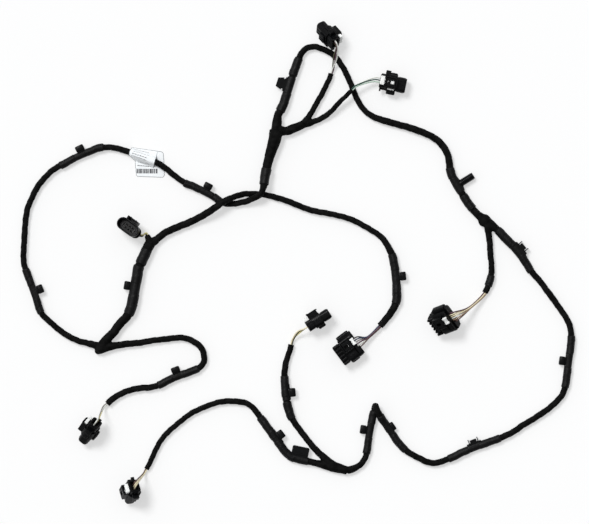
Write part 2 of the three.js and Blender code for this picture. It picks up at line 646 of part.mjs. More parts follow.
function smallHousing() {
  const ring = SHROUD_WALL + SHROUD_GAP;
  const shroudTop = NOSE_HEIGHT / 2 + ring;
  const railTop = shroudTop + LATCH_RISE;
  const nose = prism(
    roundedSection(NOSE_WIDTH, NOSE_HEIGHT, NOSE_CORNER), SHROUD_FROM, NOSE_LENGTH, 0.7,
  );
  const shroud = prism(
    roundedSection(NOSE_WIDTH + 2 * ring, NOSE_HEIGHT + 2 * ring, NOSE_CORNER + ring),
    SHROUD_FROM, SHROUD_TO, 0.5,
  ).subtract(prism(
    roundedSection(
      NOSE_WIDTH + 2 * SHROUD_GAP, NOSE_HEIGHT + 2 * SHROUD_GAP, NOSE_CORNER + SHROUD_GAP,
    ), SHROUD_TO - SHROUD_DEPTH, SHROUD_TO + 1, 0,
  ));
  const core = prism(roundedSection(CORE_WIDTH, CORE_HEIGHT, 2.6), 0.6, SHROUD_FROM + 1, 0.4);
  const side = NOSE_WIDTH / 2;
  const half = WING_THICKNESS / 2;
  const wings = [
    box([5.6, side - 2, -half], [11.5, side + 4.9, half]),
    box([11.5, side - 1, -half + 1], [19.4, side + 3.3, half - 1]),
    box([1.4, side - 1.6, -half + 1], [5.6, side + 0.4, half - 2]),
    box([10, -side - 4.7, -half], [SHROUD_TO, -side + 1, half - 1.6]),
    box([2, -side - 1.4, -half + 1], [10, -side + 1, half - 3]),
    box([1.6, -side - 3.4, -half + 1], [3.4, -side + 1, half - 3]),
    box([11.2, -5, -shroudTop - KEEL_DEPTH], [SHROUD_TO, 5, -shroudTop + 1]),
  ];
  const railSide = LATCH_WIDTH / 2 + GAP;
  const rails = [-1, 1].map((hand) => {
    const [low, high] = [railSide, railSide + RAIL_WALL].map((y) => y * hand).sort((a, b) => a - b);
    return box([7, low, shroudTop - 2], [SHROUD_TO - 0.6, high, railTop]);
  });
  const armTop = railTop - 0.3;
  const arm = box(
    [6.4, -LATCH_WIDTH / 2, armTop - LATCH_THICKNESS], [SHROUD_TO + 0.6, LATCH_WIDTH / 2, armTop],
  );
  const root = box(
    [SHROUD_TO - 1.8, -LATCH_WIDTH / 2 - 1, shroudTop - 1], [SHROUD_TO - 0.6, LATCH_WIDTH / 2 + 1, armTop],
  );
  const press = box([6.4, -LATCH_WIDTH / 2, armTop - 1], [8.2, LATCH_WIDTH / 2, armTop + 0.8]);
  const windows = box([12.6, -1.9, armTop - 3], [17.6, 2.5, armTop + 2]);
  const slot = box([9.2, -0.6, armTop - 1.6], [10.4, 2, armTop + 2]);
  const ribs = [-4.6, 0, 4.6].flatMap((y) => [-1, 1].map((hand) => {
    const [low, high] = [NOSE_HEIGHT / 2 - 0.5, NOSE_HEIGHT / 2 + 0.5].map((z) => z * hand)
      .sort((a, b) => a - b);
    return box([SHROUD_TO + 1.4, y - 0.5, low], [NOSE_LENGTH - 1.6, y + 0.5, high]);
  }));
  const recess = prism(roundedSection(10.4, 7.4, 2), -1, RECESS_DEPTH);
  const cavities = [-4.6, 0, 4.6].map((y) => box(
    [NOSE_LENGTH - 4, y - 1, -1.2], [NOSE_LENGTH + 1, y + 1, 1.2],
  ));
  return [recess, windows, slot, ...cavities].reduce(
    (whole, cut) => whole.subtract(cut),
    join(nose, shroud, core, arm, root, press, ...wings, ...rails, ...ribs),
  );
}

// The lock lies behind the latch arm, with a tongue under the arm that shows in its window.
function smallLock() {
  const shroudTop = NOSE_HEIGHT / 2 + SHROUD_WALL + SHROUD_GAP;
  const low = shroudTop + GAP;
  const high = low + LOCK_THICKNESS;
  const tongue = box([4, -3.2, low], [17, 3.2, high]);
  const tip = box([13, -1.4, low], [17, 2, high + LATCH_THICKNESS]);
  const heel = box([0.5, -4.3, CORE_HEIGHT / 2 + GAP], [5.6, 6.2, high + 1.4]);
  return join(tongue, tip, heel).subtract(box([2, -4.8, high + 0.8], [2.6, 6.8, high + 2]));
}

// The wide connector
const WIDE_LENGTH = 28.6;
const WIDE_WIDTH = 24.4;
const WIDE_HEIGHT = 13;
const WIDE_COLLAR_FROM = 3;
const WIDE_COLLAR_TO = 19.6;
const WIDE_WALL = 1.5;
const WIDE_GAP = 1;
const WIDE_RIBS = 5;
const WIDE_RIB_WIDTH = 2.3;
const WIDE_RIB_RISE = 1.1;
const WIDE_RECESS = 6.4;

function wideHousing() {
  const ring = WIDE_WALL + WIDE_GAP;
  const collarTop = WIDE_HEIGHT / 2 + ring;
  const side = WIDE_WIDTH / 2;
  const insert = prism(
    roundedSection(WIDE_WIDTH, WIDE_HEIGHT, 2), WIDE_COLLAR_FROM, WIDE_LENGTH, 0.7, 1,
  );
  const collar = prism(
    roundedSection(WIDE_WIDTH + 2 * ring, WIDE_HEIGHT + 2 * ring, 2 + ring),
    WIDE_COLLAR_FROM, WIDE_COLLAR_TO, 0.5, 1,
  ).subtract(prism(
    roundedSection(WIDE_WIDTH + 2 * WIDE_GAP, WIDE_HEIGHT + 2 * WIDE_GAP, 2 + WIDE_GAP),
    WIDE_COLLAR_TO - 6, WIDE_COLLAR_TO + 1, 0, 1,
  ));
  const ribPitch = (WIDE_WIDTH - 3) / WIDE_RIBS;
  const ribs = Array.from({ length: WIDE_RIBS + 1 }, (_, i) => (i - WIDE_RIBS / 2) * ribPitch)
    .flatMap((y) => [-1, 1].map((hand) => {
      const [low, high] = [WIDE_HEIGHT / 2 - 1, WIDE_HEIGHT / 2 + WIDE_RIB_RISE].map((z) => z * hand)
        .sort((a, b) => a - b);
      return box(
        [WIDE_COLLAR_TO + 1, y - WIDE_RIB_WIDTH / 2, low],
        [WIDE_LENGTH - 0.6, y + WIDE_RIB_WIDTH / 2, high],
      );
    }));
  const leftWing = box([8.6, side, -4], [WIDE_COLLAR_TO - 0.6, side + 3.4, 3.4]);
  const leftFlange = box([1, 4, -4.4], [3.4, side + 1.8, 4.4]);
  const rightWing = prism(roundedSection(8, 9, 2, -side - 2.6, 0.4), 2.6, 18.6, 0.8);
  const rightLobe = prism(roundedSection(10, 7, 2, -side + 0.4, 0), 0.6, 8, 0.6);
  const railTop = collarTop + LATCH_RISE;
  const rails = [[-11.6, -10], [0.9, 2.5]].map(([low, high]) => box(
    [7.4, low, collarTop - 2], [WIDE_COLLAR_TO, high, railTop],
  ));
  const armTop = railTop - 0.3;
  const arm = box([6.8, -9.7, armTop - LATCH_THICKNESS], [WIDE_COLLAR_TO + 0.8, 0.6, armTop]);
  const root = box([WIDE_COLLAR_TO - 1.8, -10.4, collarTop - 1], [WIDE_COLLAR_TO - 0.4, 1.4, armTop]);
  const press = box([6.8, -9.7, armTop - 1], [8.8, 0.6, armTop + 0.8]);
  const windows = box([11.6, -6, armTop - 3], [17, -2.4, armTop + 2]);
  const recess = prism(roundedSection(18, 8.4, 2), -1, WIDE_RECESS);
  const cavities = Array.from({ length: 2 * WIDE_RIBS }, (_, i) => {
    const y = ((i % WIDE_RIBS) - (WIDE_RIBS - 1) / 2) * ribPitch;
    const z = i < WIDE_RIBS ? -2.8 : 2.8;
    return box([WIDE_LENGTH - 3, y - 1, z - 1.2], [WIDE_LENGTH + 1, y + 1, z + 1.2]);
  });
  return [recess, windows, ...cavities].reduce(
    (whole, cut) => whole.subtract(cut),
    join(insert, collar, leftWing, leftFlange, rightWing, rightLobe, arm, root, press, ...rails, ...ribs),
  );
}

function wideLock() {
  const low = WIDE_HEIGHT / 2 + WIDE_WALL + WIDE_GAP + GAP;
  const high = low + LOCK_THICKNESS;
  const tongue = box([5, -7.4, low], [16, -1, high]);
  const tip = box([12.2, -5.6, low], [16.4, -2.8, high + LATCH_THICKNESS]);
  const heel = box([2.6, -9.4, low], [6, 0.8, high + 1.6]);
  return join(tongue, tip, heel).subtract(box([4, -10, high + 1], [4.6, 1.4, high + 2]));
}

// The oval pin connector
const OVAL_WIDTH = 28;
const OVAL_HEIGHT = 14.6;
const OVAL_LENGTH = 23;
const OVAL_WALL = 1.5;
const OVAL_CAVITY = 10;
const OVAL_STEP = 13; // where the body widens into the rim
const OVAL_WIRE_LOW = 1.3; // the two layers of wires, from the rear face
const OVAL_WIRE_HIGH = 3;
const OVAL_WIRE_PITCH = 1.75;
const PIN_RADIUS = 0.6;
const PIN_PITCH = 4;
const PIN_ROW = 1.9; // from the middle of the cavity to each row of pins
const PIN_LENGTH = 5.6;
const PIN_BASE = 1.6;

function ovalHousing() {
  const rim = prism(
    roundedSection(OVAL_WIDTH, OVAL_HEIGHT, OVAL_HEIGHT / 2 - 0.1), OVAL_STEP, OVAL_LENGTH, 0.4, 3,
  );
  const body = prism(
    roundedSection(OVAL_WIDTH - 4, OVAL_HEIGHT - 3, OVAL_HEIGHT / 2 - 2.4), 0, OVAL_STEP + 2, 0.6, 2,
  );
  const flange = prism(
    roundedSection(OVAL_WIDTH + 2.4, OVAL_HEIGHT - 1, OVAL_HEIGHT / 2 - 1), 8, 10.4, 0.4, 2,
  );
  const cavity = prism(
    roundedSection(
      OVAL_WIDTH - 2 * OVAL_WALL, OVAL_HEIGHT - 2 * OVAL_WALL, OVAL_HEIGHT / 2 - OVAL_WALL - 0.1,
    ), OVAL_LENGTH - OVAL_CAVITY, OVAL_LENGTH + 1, 0, 3,
  );
  const top = OVAL_HEIGHT / 2;
  const hood = box([9, -7.4, top - 1.6], [OVAL_LENGTH - 0.6, 7.4, top + 4])
    .subtract(box([OVAL_LENGTH - 9, -5.4, top + 0.4], [OVAL_LENGTH + 1, 5.4, top + 2.6]));
  const recess = prism(roundedSection(12, 8, 2), -1, RECESS_DEPTH);
  const doorway = box([-1, 2, -3.6], [RECESS_DEPTH, OVAL_WIDTH, OVAL_HEIGHT]);
  return join(rim, body, flange, hood).subtract(cavity).subtract(recess).subtract(doorway);
}

function ovalPins() {
  const floor = OVAL_LENGTH - OVAL_CAVITY + GAP;
  const inset = OVAL_WALL + GAP;
  const plate = prism(
    roundedSection(
      OVAL_WIDTH - 2 * inset, OVAL_HEIGHT - 2 * inset, OVAL_HEIGHT / 2 - inset - 0.1,
    ), floor, floor + PIN_BASE, 0, 3,
  );
  const pins = [-1, 0, 1].flatMap((column) => [-1, 1].map((row) => {
    const pin = new THREE.CylinderGeometry(PIN_RADIUS, PIN_RADIUS, PIN_LENGTH + 1, 6);
    pin.rotateZ(Math.PI / 2);
    pin.translate(floor + PIN_BASE + PIN_LENGTH / 2 - 0.5, column * PIN_PITCH, row * PIN_ROW);
    return solidOf(pin);
  }));
  return join(plate, ...pins);
}

// Where each connector lies: the board spot of the middle of its rear face, its heading
// counter-clockwise from the right, how far its nose dips and how far it rolls over its right
// side. Each rests on the table with its lowest point.
const small = { make: smallHousing, lock: smallLock, wires: 3, seat: RECESS_DEPTH, spread: 2.6 };
const wide = { make: wideHousing, lock: wideLock, wires: 6, seat: WIDE_RECESS, spread: 2.5 };
const oval = { make: ovalHousing, pins: ovalPins, wires: 4 };

const connectors = [
  {
    ...small, name: "top", route: routes.top,
    at: [335.3, 44.3], heading: 131, dip: 32, roll: 120, over: [[334.4, 57, 13.4]],
  },
  {
    ...small, name: "top_side", route: routes.topSide,
    at: [379.3, 80.8], heading: -12, dip: 0, roll: 0,
  },
  {
    ...small, name: "lower_left", route: routes.lowerLeft,
    at: [96.8, 421.8], heading: 235, dip: 38, roll: 95,
  },
  {
    ...small, name: "bottom_left", route: routes.bottomLeft,
    at: [135.4, 484.4], heading: 242, dip: 57, roll: 49,
  },
  {
    ...small, name: "centre", route: routes.centre,
    at: [306.9, 327.2], heading: 33, dip: 0, roll: -90,
  },
  {
    ...wide, name: "cross", route: routes.cross,
    at: [358.2, 341.8], heading: 216.9, dip: 0, roll: 0,
  },
  {
    ...wide, name: "right", route: routes.rightDrop,
    at: [453.2, 316.4], heading: 202, dip: 34, roll: -26,
  },
  { ...oval, name: "oval", route: routes.stub, at: [130.6, 229], heading: 135, dip: -81, roll: 99 },
];

// One wire, from the end of the tape to a spot in the recess of a connector.
function wireAlong(points) {
  const section = new THREE.Shape();
  section.absarc(0, 0, WIRE_RADIUS, 0, 2 * Math.PI);
  const curve = new THREE.CatmullRomCurve3(points, false, "centripetal");
  const geometry = new THREE.ExtrudeGeometry(section, {
    steps: Math.max(3, Math.round(curve.getLength() / WIRE_STEP)),
    curveSegments: 4,
    extrudePath: curve,
  });
  return solidOf(geometry);
}

// The wires of one connector: packed round a root at the tape, then fanned to the recess.
function wiresTo({ route, wires, seat, spread, over = [] }, group) {
  const end = route.at(route.length);
  const along = route.along(route.length);
  const side = new THREE.Vector3().crossVectors(new THREE.Vector3(0, 0, 1), along).normalize();
  const up = new THREE.Vector3().crossVectors(along, side);
  const pack = (WIRE_RADIUS + WIRE_CLEARANCE) / Math.sin(Math.PI / wires);
  const rootRadius = pack + WIRE_RADIUS / 2;
  const root = new THREE.CylinderGeometry(rootRadius, rootRadius, WIRE_ROOT, 8);
  root.applyQuaternion(new THREE.Quaternion().setFromUnitVectors(new THREE.Vector3(0, 1, 0), along));
  root.translate(...end.clone().addScaledVector(along, GAP + WIRE_ROOT / 2).toArray());
  const offsets = Array.from({ length: wires }, (_, i) => {
    const turn = 2 * Math.PI * (i + 0.5) / wires;
    return side.clone().multiplyScalar(pack * Math.cos(turn))
      .addScaledVector(up, pack * Math.sin(turn));
  });
  if (seat) { // in the order of the cavities, so that the wires don't cross
    const across = new THREE.Vector3(0, 1, 0).transformDirection(group.matrixWorld);
    offsets.sort((a, b) => b.dot(across) - a.dot(across));
  }
  const fan = offsets.map((offset, i) => {
    const slot = i - (wires - 1) / 2;
    const spot = seat
      ? new THREE.Vector3(seat - GAP, -slot * spread, 0)
      : new THREE.Vector3(i < 2 ? OVAL_WIRE_HIGH : OVAL_WIRE_LOW, 2, (i % 3 ? 0 : -1) * OVAL_WIRE_PITCH);
    const outside = seat
      ? new THREE.Vector3(-5, spot.y * 0.9, 0)
      : spot.clone().add(new THREE.Vector3(0, OVAL_WIDTH / 2, 2.4));
    return wireAlong([
      end.clone().addScaledVector(along, GAP + WIRE_ROOT / 2).add(offset),
      end.clone().addScaledVector(along, GAP + WIRE_ROOT + 3).add(offset),
      ...over.map(([x, y, z]) => onBoard(x - slot * 1.8, y, z)),
      group.localToWorld(outside),
      group.localToWorld(spot),
    ]);
  });
  return join(solidOf(root), ...fan);
}

for (const terminal of connectors) {
  const { name, make, lock, pins } = terminal;
  const [heading, dip, roll] = [terminal.heading, terminal.dip, terminal.roll]
    .map(THREE.MathUtils.degToRad);
  const group = new THREE.Group();
  group.rotation.set(roll, dip, heading, "ZYX");
  const housing = add(`${name}_connector`, geometryOf(make()), blackPlastic, 0.45, 0, group);
  group.updateMatrixWorld(true);
  const lowest = new THREE.Box3().setFromObject(housing, true).min.z;
  group.position.copy(onBoard(...terminal.at, -lowest));
  harness.add(group);
  group.updateMatrixWorld(true);
  if (lock) add(`${name}_lock`, geometryOf(lock()), whitePlastic, 0.4, 0, group);
  if (pins) add(`${name}_pins`, geometryOf(pins()), brass, 0.4, 0.6, group);
  add(`${name}_wires`, geometryOf(wiresTo(terminal, group)), whitePlastic, 0.5);
}

// The label: a flag on the table and a sleeve that closes round the bundle lying over it.

const SHEET = 0.3;
const LABEL_OUTLINE = [
  [131.7, 147.2], [162.8, 152.1], [164.4, 175], [162.4, 177.2], [136.9, 176.1], [135, 159.8],
  [128, 154.6],
];
const flagShape = new THREE.Shape(LABEL_OUTLINE.map(([x, y]) => {
  const corner = onBoard(x, y, 0);
  return new THREE.Vector2(corner.x, corner.y);
}));
const flag = solidOf(new THREE.ExtrudeGeometry(flagShape, { depth: SHEET, bevelEnabled: false }));
const sleeveEnds = [nearest(routes.loop, 155.2, 162.4), nearest(routes.loop, 130, 152)];
const covered = bundles.loop_bundle.profile;
const sleeve = laid(routes.loop, covered, GAP + SHEET)
  .intersect(laid(routes.loop, sleeveEnds.map((s) => [s, 2 * LOOP_RADIUS])))
  .subtract(laid(routes.loop, covered, GAP))
  .subtract(box([-400, -400, -5], [400, 400, 0]));
add("label", geometryOf(join(flag, sleeve)), paper, 0.6);

export default harness;
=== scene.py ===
# Looks of a laid-out wiring harness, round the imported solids.
# Metres, +Z up. The plan of the harness is on a board, x to the right and y down.

import math
import re

import bmesh
import bpy
from mathutils import Matrix, Vector, noise


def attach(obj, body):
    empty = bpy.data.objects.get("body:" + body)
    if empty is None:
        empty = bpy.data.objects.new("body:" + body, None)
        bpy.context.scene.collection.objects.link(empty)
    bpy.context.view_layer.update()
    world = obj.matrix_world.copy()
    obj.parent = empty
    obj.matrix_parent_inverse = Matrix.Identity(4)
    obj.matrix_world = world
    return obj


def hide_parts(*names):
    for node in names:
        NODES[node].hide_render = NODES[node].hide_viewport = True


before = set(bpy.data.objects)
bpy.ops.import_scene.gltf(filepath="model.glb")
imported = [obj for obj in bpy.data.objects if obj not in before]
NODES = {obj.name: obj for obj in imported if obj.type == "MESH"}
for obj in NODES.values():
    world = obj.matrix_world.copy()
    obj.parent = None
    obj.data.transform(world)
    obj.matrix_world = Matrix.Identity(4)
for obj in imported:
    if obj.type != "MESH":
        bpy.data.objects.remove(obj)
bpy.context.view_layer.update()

MM = 0.001
BOARD_STEP = 1.15 * MM
BOARD_MIDDLE = (297.845, 262.652)
BAND = 0.6 * MM  # what a band of smooth tape adds to a bundle's radius
ON_TABLE = 0.05 * MM  # the lowest height of a surface
SHARP = math.radians(50)  # a moulding's edges stay sharp past this angle


def on_board(x, y, height=0.0):
    across = (x - BOARD_MIDDLE[0]) * BOARD_STEP
    up = (BOARD_MIDDLE[1] - y) * BOARD_STEP
    return Vector((across, up, height))


# Camera: straight above the middle of the board's frame

FRAME_PIXELS = (589, 524)
LENS = 300
SENSOR = 36
camera_data = bpy.data.cameras.new("camera")
camera_data.lens = LENS
camera_data.sensor_width = SENSOR
camera = bpy.data.objects.new("camera", camera_data)
bpy.context.scene.collection.objects.link(camera)
camera_height = FRAME_PIXELS[0] * BOARD_STEP * LENS / SENSOR
camera.location = on_board(FRAME_PIXELS[0] / 2, FRAME_PIXELS[1] / 2, camera_height)
bpy.context.scene.camera = camera

# Routes. Each point is x, y on the board and, where it is raised, its lift in millimetres.

PLAN = {
    "loop": [
        [276, 130, 3.4], [275.2, 137.6, 3.2], [272.7, 146.7, 3.1], [269.5, 156.8, 3],
        [266.6, 168.5, 4.4], [264.6, 179.7, 6.6], [263.6, 186.6, 8.4], [262, 192, 9.6],
        [259, 196, 9], [252, 198.8, 5], [247.7, 201, 2.4], [243.1, 202.2, 0.8], [233.5, 203.8],
        [224, 203.3], [218.5, 200.2], [213.2, 196.4], [206, 192.4], [199.7, 189.3],
        [192.1, 185.9], [184.3, 182.6], [174.8, 175.8], [165.8, 168.3], [160.6, 164.7],
        [155.5, 161.8], [142, 156.8], [129, 152.1], [120.2, 149.2], [112, 147.5], [104.7, 147.4],
        [98.9, 147.9], [92.6, 150.4], [86, 153], [79.8, 156], [72.9, 159], [66, 163.2],
        [58.6, 166.6], [52.1, 170.9], [45.3, 177.5], [38.9, 185.2], [34.8, 192.1], [31.6, 199.3],
        [28.1, 207.5], [26.2, 216.7], [25.2, 228.2], [24.5, 240], [23.9, 251.9], [23.9, 262.8],
        [25.4, 268.6], [27.6, 273.9], [29.9, 280.3], [32.2, 286.8], [34.8, 292.8], [36.6, 299.2],
        [38.7, 305.7], [41.2, 312.4], [45.4, 317.5], [50.4, 321.9], [55.7, 326.7], [61.6, 331.6],
        [70.3, 337.1], [80, 341.4], [89.1, 343.4], [98, 346],
    ],
    "trunk": [
        [98.2, 351.3], [104.6, 342], [110, 336.2], [113.5, 332.7], [117, 327.9], [120.7, 322.8],
        [125.4, 318.3], [129.1, 313.1], [131.5, 307], [133, 300.7], [134.1, 293.9], [135.2, 287],
        [136.5, 280.4], [137.6, 273.9], [138.9, 267.7], [141.4, 262.2], [143.5, 257.3],
        [145.8, 252.6], [147.6, 248.1], [150, 244],
    ],
    "cross": [
        [150, 244, 1], [157.6, 238.8, 0.4], [164.4, 233.2], [178.5, 226.8], [192.3, 221.2, 0.8],
        [204.3, 214.8, 4.5], [214.7, 208.2, 8.6], [223.8, 201.7, 9.6], [234, 197.1, 6.8],
        [238.8, 195.6, 4.6], [243.5, 194.1, 2.4], [248.8, 193.9, 0.8], [254, 193.9], [262, 194.5],
        [267.8, 195.5], [274.2, 197.1], [281.7, 199.2], [289.5, 202], [298.5, 205.5],
        [307.8, 209.2], [316.9, 211.5], [326, 213], [336, 215.2], [345.8, 217.6], [353.8, 220.6],
        [361.3, 224.5], [370.5, 229.7], [378.8, 235.1], [384.2, 240.3], [387.8, 246.4],
        [390.6, 251.6], [392.8, 257.3], [394.1, 263.5], [395, 270.1], [396.2, 280], [396.6, 290],
        [396.8, 296.8], [395.9, 303], [393.6, 307.8], [390.9, 312.6], [385.8, 319.2], [380, 326],
    ],
    "lower_left": [
        [98.5, 350], [110, 346.4], [116.9, 345.4], [124.5, 344.1], [140, 342.7], [155.5, 340.1],
        [164.2, 339.2], [172, 338.2], [179.2, 337.6], [185.8, 338.2], [191.7, 340.4],
        [197, 343.6], [201.7, 348.2], [204, 354.7], [204.2, 360.3], [202.4, 365], [198.4, 368.2],
        [193.9, 370.2], [188.2, 372.5], [181.8, 374.6], [171.5, 378.6], [166.3, 381.4],
        [160.6, 384.3], [150.7, 387.3], [140.2, 388], [132, 389.6], [124.5, 392.1],
        [118.6, 395.2], [113.4, 398.2], [110.5, 400.9], [107.4, 403.7],
    ],
    "upper_right": [
        [276, 130, 3.2], [277, 122, 2.4], [277.9, 115.9], [280.8, 109.9], [283.6, 103.9],
        [285.8, 97.2], [288.4, 89], [291.2, 80.2], [293.9, 71.9], [296.7, 64.1], [299, 58.4],
        [301.4, 53.6], [304.4, 50], [308.4, 47.6], [312.6, 46.9], [316.9, 47.2], [321.9, 48.9],
        [327.5, 51.3], [333, 55], [337.6, 59.6], [341.2, 65], [344.5, 70.5], [347.4, 76.7],
        [350.2, 82.7], [352.7, 89], [355.3, 95.6], [358.4, 101.9], [362.3, 108], [368, 113.6],
        [375, 117.7], [383.7, 120.6], [394.5, 123.7], [405.6, 126.7], [415.5, 129.9],
        [424.6, 133.3], [431.4, 136.5], [437.5, 140.4], [442.5, 145.8], [446.3, 151.8],
        [448.2, 157], [449.2, 162.1], [449.6, 167.6], [450.7, 173], [453, 178.4], [456, 184.5],
        [461.2, 192.4], [464.9, 198.6], [468.6, 204.1], [472.4, 209], [476.7, 213.8],
        [481.9, 218.1], [487.5, 221.8, 0.4],
    ],
    "right_side": [
        [487.5, 221.8, 0.9], [497.3, 230, 0.2], [502.9, 235.7], [508.6, 241.6], [514, 246.7],
        [518.9, 251.8], [522.7, 257.9], [526.3, 263.8], [529.5, 269.3], [533.4, 274],
        [537.4, 278.5], [541.6, 283.3], [545.2, 288.6], [549.3, 294], [554.4, 300.9],
        [559.5, 308.1], [564, 314.6], [567.8, 321.3], [570.2, 327.7], [571, 334.7],
        [570.9, 341.7], [570.2, 349], [569, 357.6], [567.8, 366], [566.8, 374.1], [565.6, 381.8],
        [564.5, 388], [562.6, 393.5], [559.5, 398.2], [555.6, 402.4], [550.6, 406.6],
        [545.4, 410.9], [539.5, 414.7], [533.6, 418.6], [527.6, 422.2], [521.6, 425.8],
        [515.7, 430], [509.6, 433.6], [504.3, 436], [499.2, 438.2], [494.3, 440.1],
        [489.1, 441.7], [481.9, 444.4], [474.6, 447.1], [468.5, 449.5], [462.7, 451.9],
        [457.8, 454.3], [453.3, 456.8], [447.8, 459], [442.3, 461], [437.6, 462.5], [432, 462.9],
        [426.2, 461.6], [420.1, 458.5], [413, 454.9], [406.3, 450.5], [401.5, 446.1],
        [397.4, 441.3], [393.9, 436.3], [390.7, 431.6], [388.2, 427.8], [385.6, 424.2, 0.8],
        [382.9, 420.4, 2.4], [380.4, 416.2, 5], [377.4, 410.2, 8.6], [376, 407.2, 8.4],
        [375.2, 405.2, 4.9], [374.9, 407, 1.2], [374.2, 410.4], [372.6, 416.6], [371.5, 421.9],
        [370.3, 427], [369.4, 432.5], [368.6, 438], [367.8, 443.1], [367.2, 448], [366.5, 452.7],
        [365.2, 457.6], [362.6, 462], [358.6, 465.8], [353, 468.6], [347, 470.2, 0.4],
    ],
    "right_drop": [
        [487.5, 221.8, 1], [488.4, 234, 0.2], [489.6, 242.8], [490.1, 251.9], [490.8, 259.1],
        [491.5, 266], [491.3, 273.1], [490.1, 279.9], [487.9, 286.2], [485, 292.7],
    ],
    "fork": [
        [276, 130, 2.6], [284.9, 131.4, 1.4], [289.5, 130.4, 0.6], [293.8, 128.4], [299.3, 126.4],
        [303.7, 124],
    ],
    "top": [
        [303.7, 124, 0.6], [309.8, 115.4], [313.7, 108.6], [317.7, 101.3], [321.7, 94.4],
        [325.2, 87.4], [328.6, 80.8], [331.2, 73.8],
    ],
    "top_side": [
        [303.7, 124, 0.6], [308.6, 123.4], [314.2, 121.6], [319.6, 119.4, 0.6],
        [324.8, 116.4, 1.6], [330.4, 112.2, 3.4], [335.4, 107, 5.6], [340, 101.9, 7.6],
        [344.8, 97.4, 9.2], [348.5, 93.7, 10.2], [352, 90, 10.6],
    ],
    "centre": [
        [347, 470.2, 0.6], [332.6, 464.2, 0.2], [319.6, 453.4], [312.8, 446.4], [306.4, 438.4],
        [300.9, 431.4], [295.9, 424.6], [291.7, 417.7], [289, 410.7], [287.3, 404.3],
        [286.2, 398], [285.4, 391], [284.9, 384], [284.5, 377], [284.8, 370], [285.9, 363],
        [287.7, 356.4], [289.7, 350.7], [291.3, 344.6],
    ],
    "bottom_left": [
        [347, 470.2, 0.6], [331.5, 467.4, 0.2], [316, 462.9], [301.7, 460.2], [294.4, 458.4],
        [290, 456], [286, 452.4], [281.8, 447], [277, 440.3], [272.2, 433.9], [267.9, 427.8],
        [263.8, 422], [259.8, 416.7], [256.3, 411.5], [252.8, 407.4], [248.6, 404.2],
        [243.9, 402.4], [238.8, 401.6], [232.7, 401.1], [226.1, 401.1], [217.7, 402.3],
        [209.2, 405.2], [199.9, 408.9], [190.9, 413.4], [183.3, 419.1], [176.1, 425],
        [168.9, 431.2], [162.8, 437.9], [158.1, 445.2], [154.4, 452.9], [150.7, 461.1],
        [146.6, 469],
    ],
    "stub": [
        [150, 244, 2], [148.6, 239.4, 0.8], [146.4, 234],
    ],
}

# Radii in millimetres, as the board spot where each holds and the radius there
RADII = {
    "loop": [
        (276, 130, 6.9), (269, 157, 5.6), (264, 184, 4.4), (262, 192, 3.5), (98, 346, 3.5),
    ],
    "trunk": [(98, 351, 4.6), (110, 336, 5), (134, 294, 5.4), (150, 244, 5.4)],
    "cross": [
        (150, 244, 4.2), (214, 208, 4.1), (238, 196, 3.5), (378, 235, 3.4), (394, 263, 4.1),
        (396, 300, 4.4), (380, 326, 3.9),
    ],
    "lower_left": [(98, 350, 4.4), (155, 340, 3.5), (205, 356, 3.6), (107, 403, 3.6)],
    "upper_right": [
        (276, 130, 5), (286, 97, 4.4), (296, 64, 4.1), (304, 50, 3.5), (370, 115, 3.4),
        (384, 121, 4), (470, 206, 4.2), (488, 222, 4.6),
    ],
    "right_side": [(487, 222, 4.2), (512, 245, 4.2), (533, 274, 3.6), (347, 470, 3.6)],
    "right_drop": [(487, 222, 4), (490, 252, 3.5), (485, 292, 3.5)],
    "fork": [(276, 130, 5), (290, 130, 4.8), (303, 124, 4)],
    "top": [(303, 124, 3.4), (331, 74, 3.1)],
    "top_side": [(303, 124, 3.4), (330, 112, 3.1), (352, 90, 2.5)],
    "centre": [(347, 470, 4), (300, 431, 3.6), (287, 404, 4.1), (291, 344, 3.3)],
    "bottom_left": [(347, 470, 4), (268, 428, 3.9), (252, 407, 3.4), (154, 453, 3.1), (146, 469, 2.8)],
    "stub": [(150, 244, 3.2), (146, 234, 2.8)],
}

# Bands of smooth tape, as the two board spots between which each lies
BANDS = {
    "loop": [
        (263.8, 168, 263.4, 185), (222, 202.6, 213.2, 196.4), (201, 189.9, 184.3, 182.6),
        (104, 147.4, 84.6, 154), (75, 158, 60, 166), (25.4, 269, 31.8, 285.4), (36.2, 298, 41.4, 313),
    ],
    "trunk": [(128.4, 314.4, 134, 294), (136, 283.6, 139.4, 265.6), (140.6, 264, 147.4, 248.6)],
    "cross": [(391.8, 254, 395.2, 271), (396.4, 284, 395.6, 304)],
    "lower_left": [(198.4, 368.2, 180.6, 375), (173.4, 378, 157.6, 385.4)],
    "upper_right": [
        (279.8, 111.6, 287.2, 92.4), (292.6, 76, 299.2, 58.2), (449.6, 168, 453, 178.4),
        (462.6, 195, 472.8, 209.6),
    ],
    "right_side": [
        (497, 229.6, 514, 246.6), (520.4, 254.4, 531, 271.4), (571, 335, 569.4, 355),
        (567.8, 367, 564.6, 387.4), (500, 438, 478.6, 445.6), (469, 449.2, 448, 459),
        (406, 450.3, 392.4, 434), (390.4, 431, 379.6, 414.8), (374.2, 410.6, 371, 424),
        (368.8, 437, 366.2, 454),
    ],
    "right_drop": [(491.2, 275, 487.8, 286.4)],
    "fork": [],
    "top": [],
    "top_side": [],
    "centre": [(292.4, 419, 286.8, 401.6), (286, 397, 284.5, 376)],
    "bottom_left": [(295, 458.6, 277.2, 440.6), (275.4, 438.2, 259.8, 416.8)],
    "stub": [],
}

SAMPLE_STEP = 0.5 * MM
RING_STEP = 0.8 * MM
SIDES = 28
EASE = 2.6 * MM  # length over which a route's small kinks are evened out


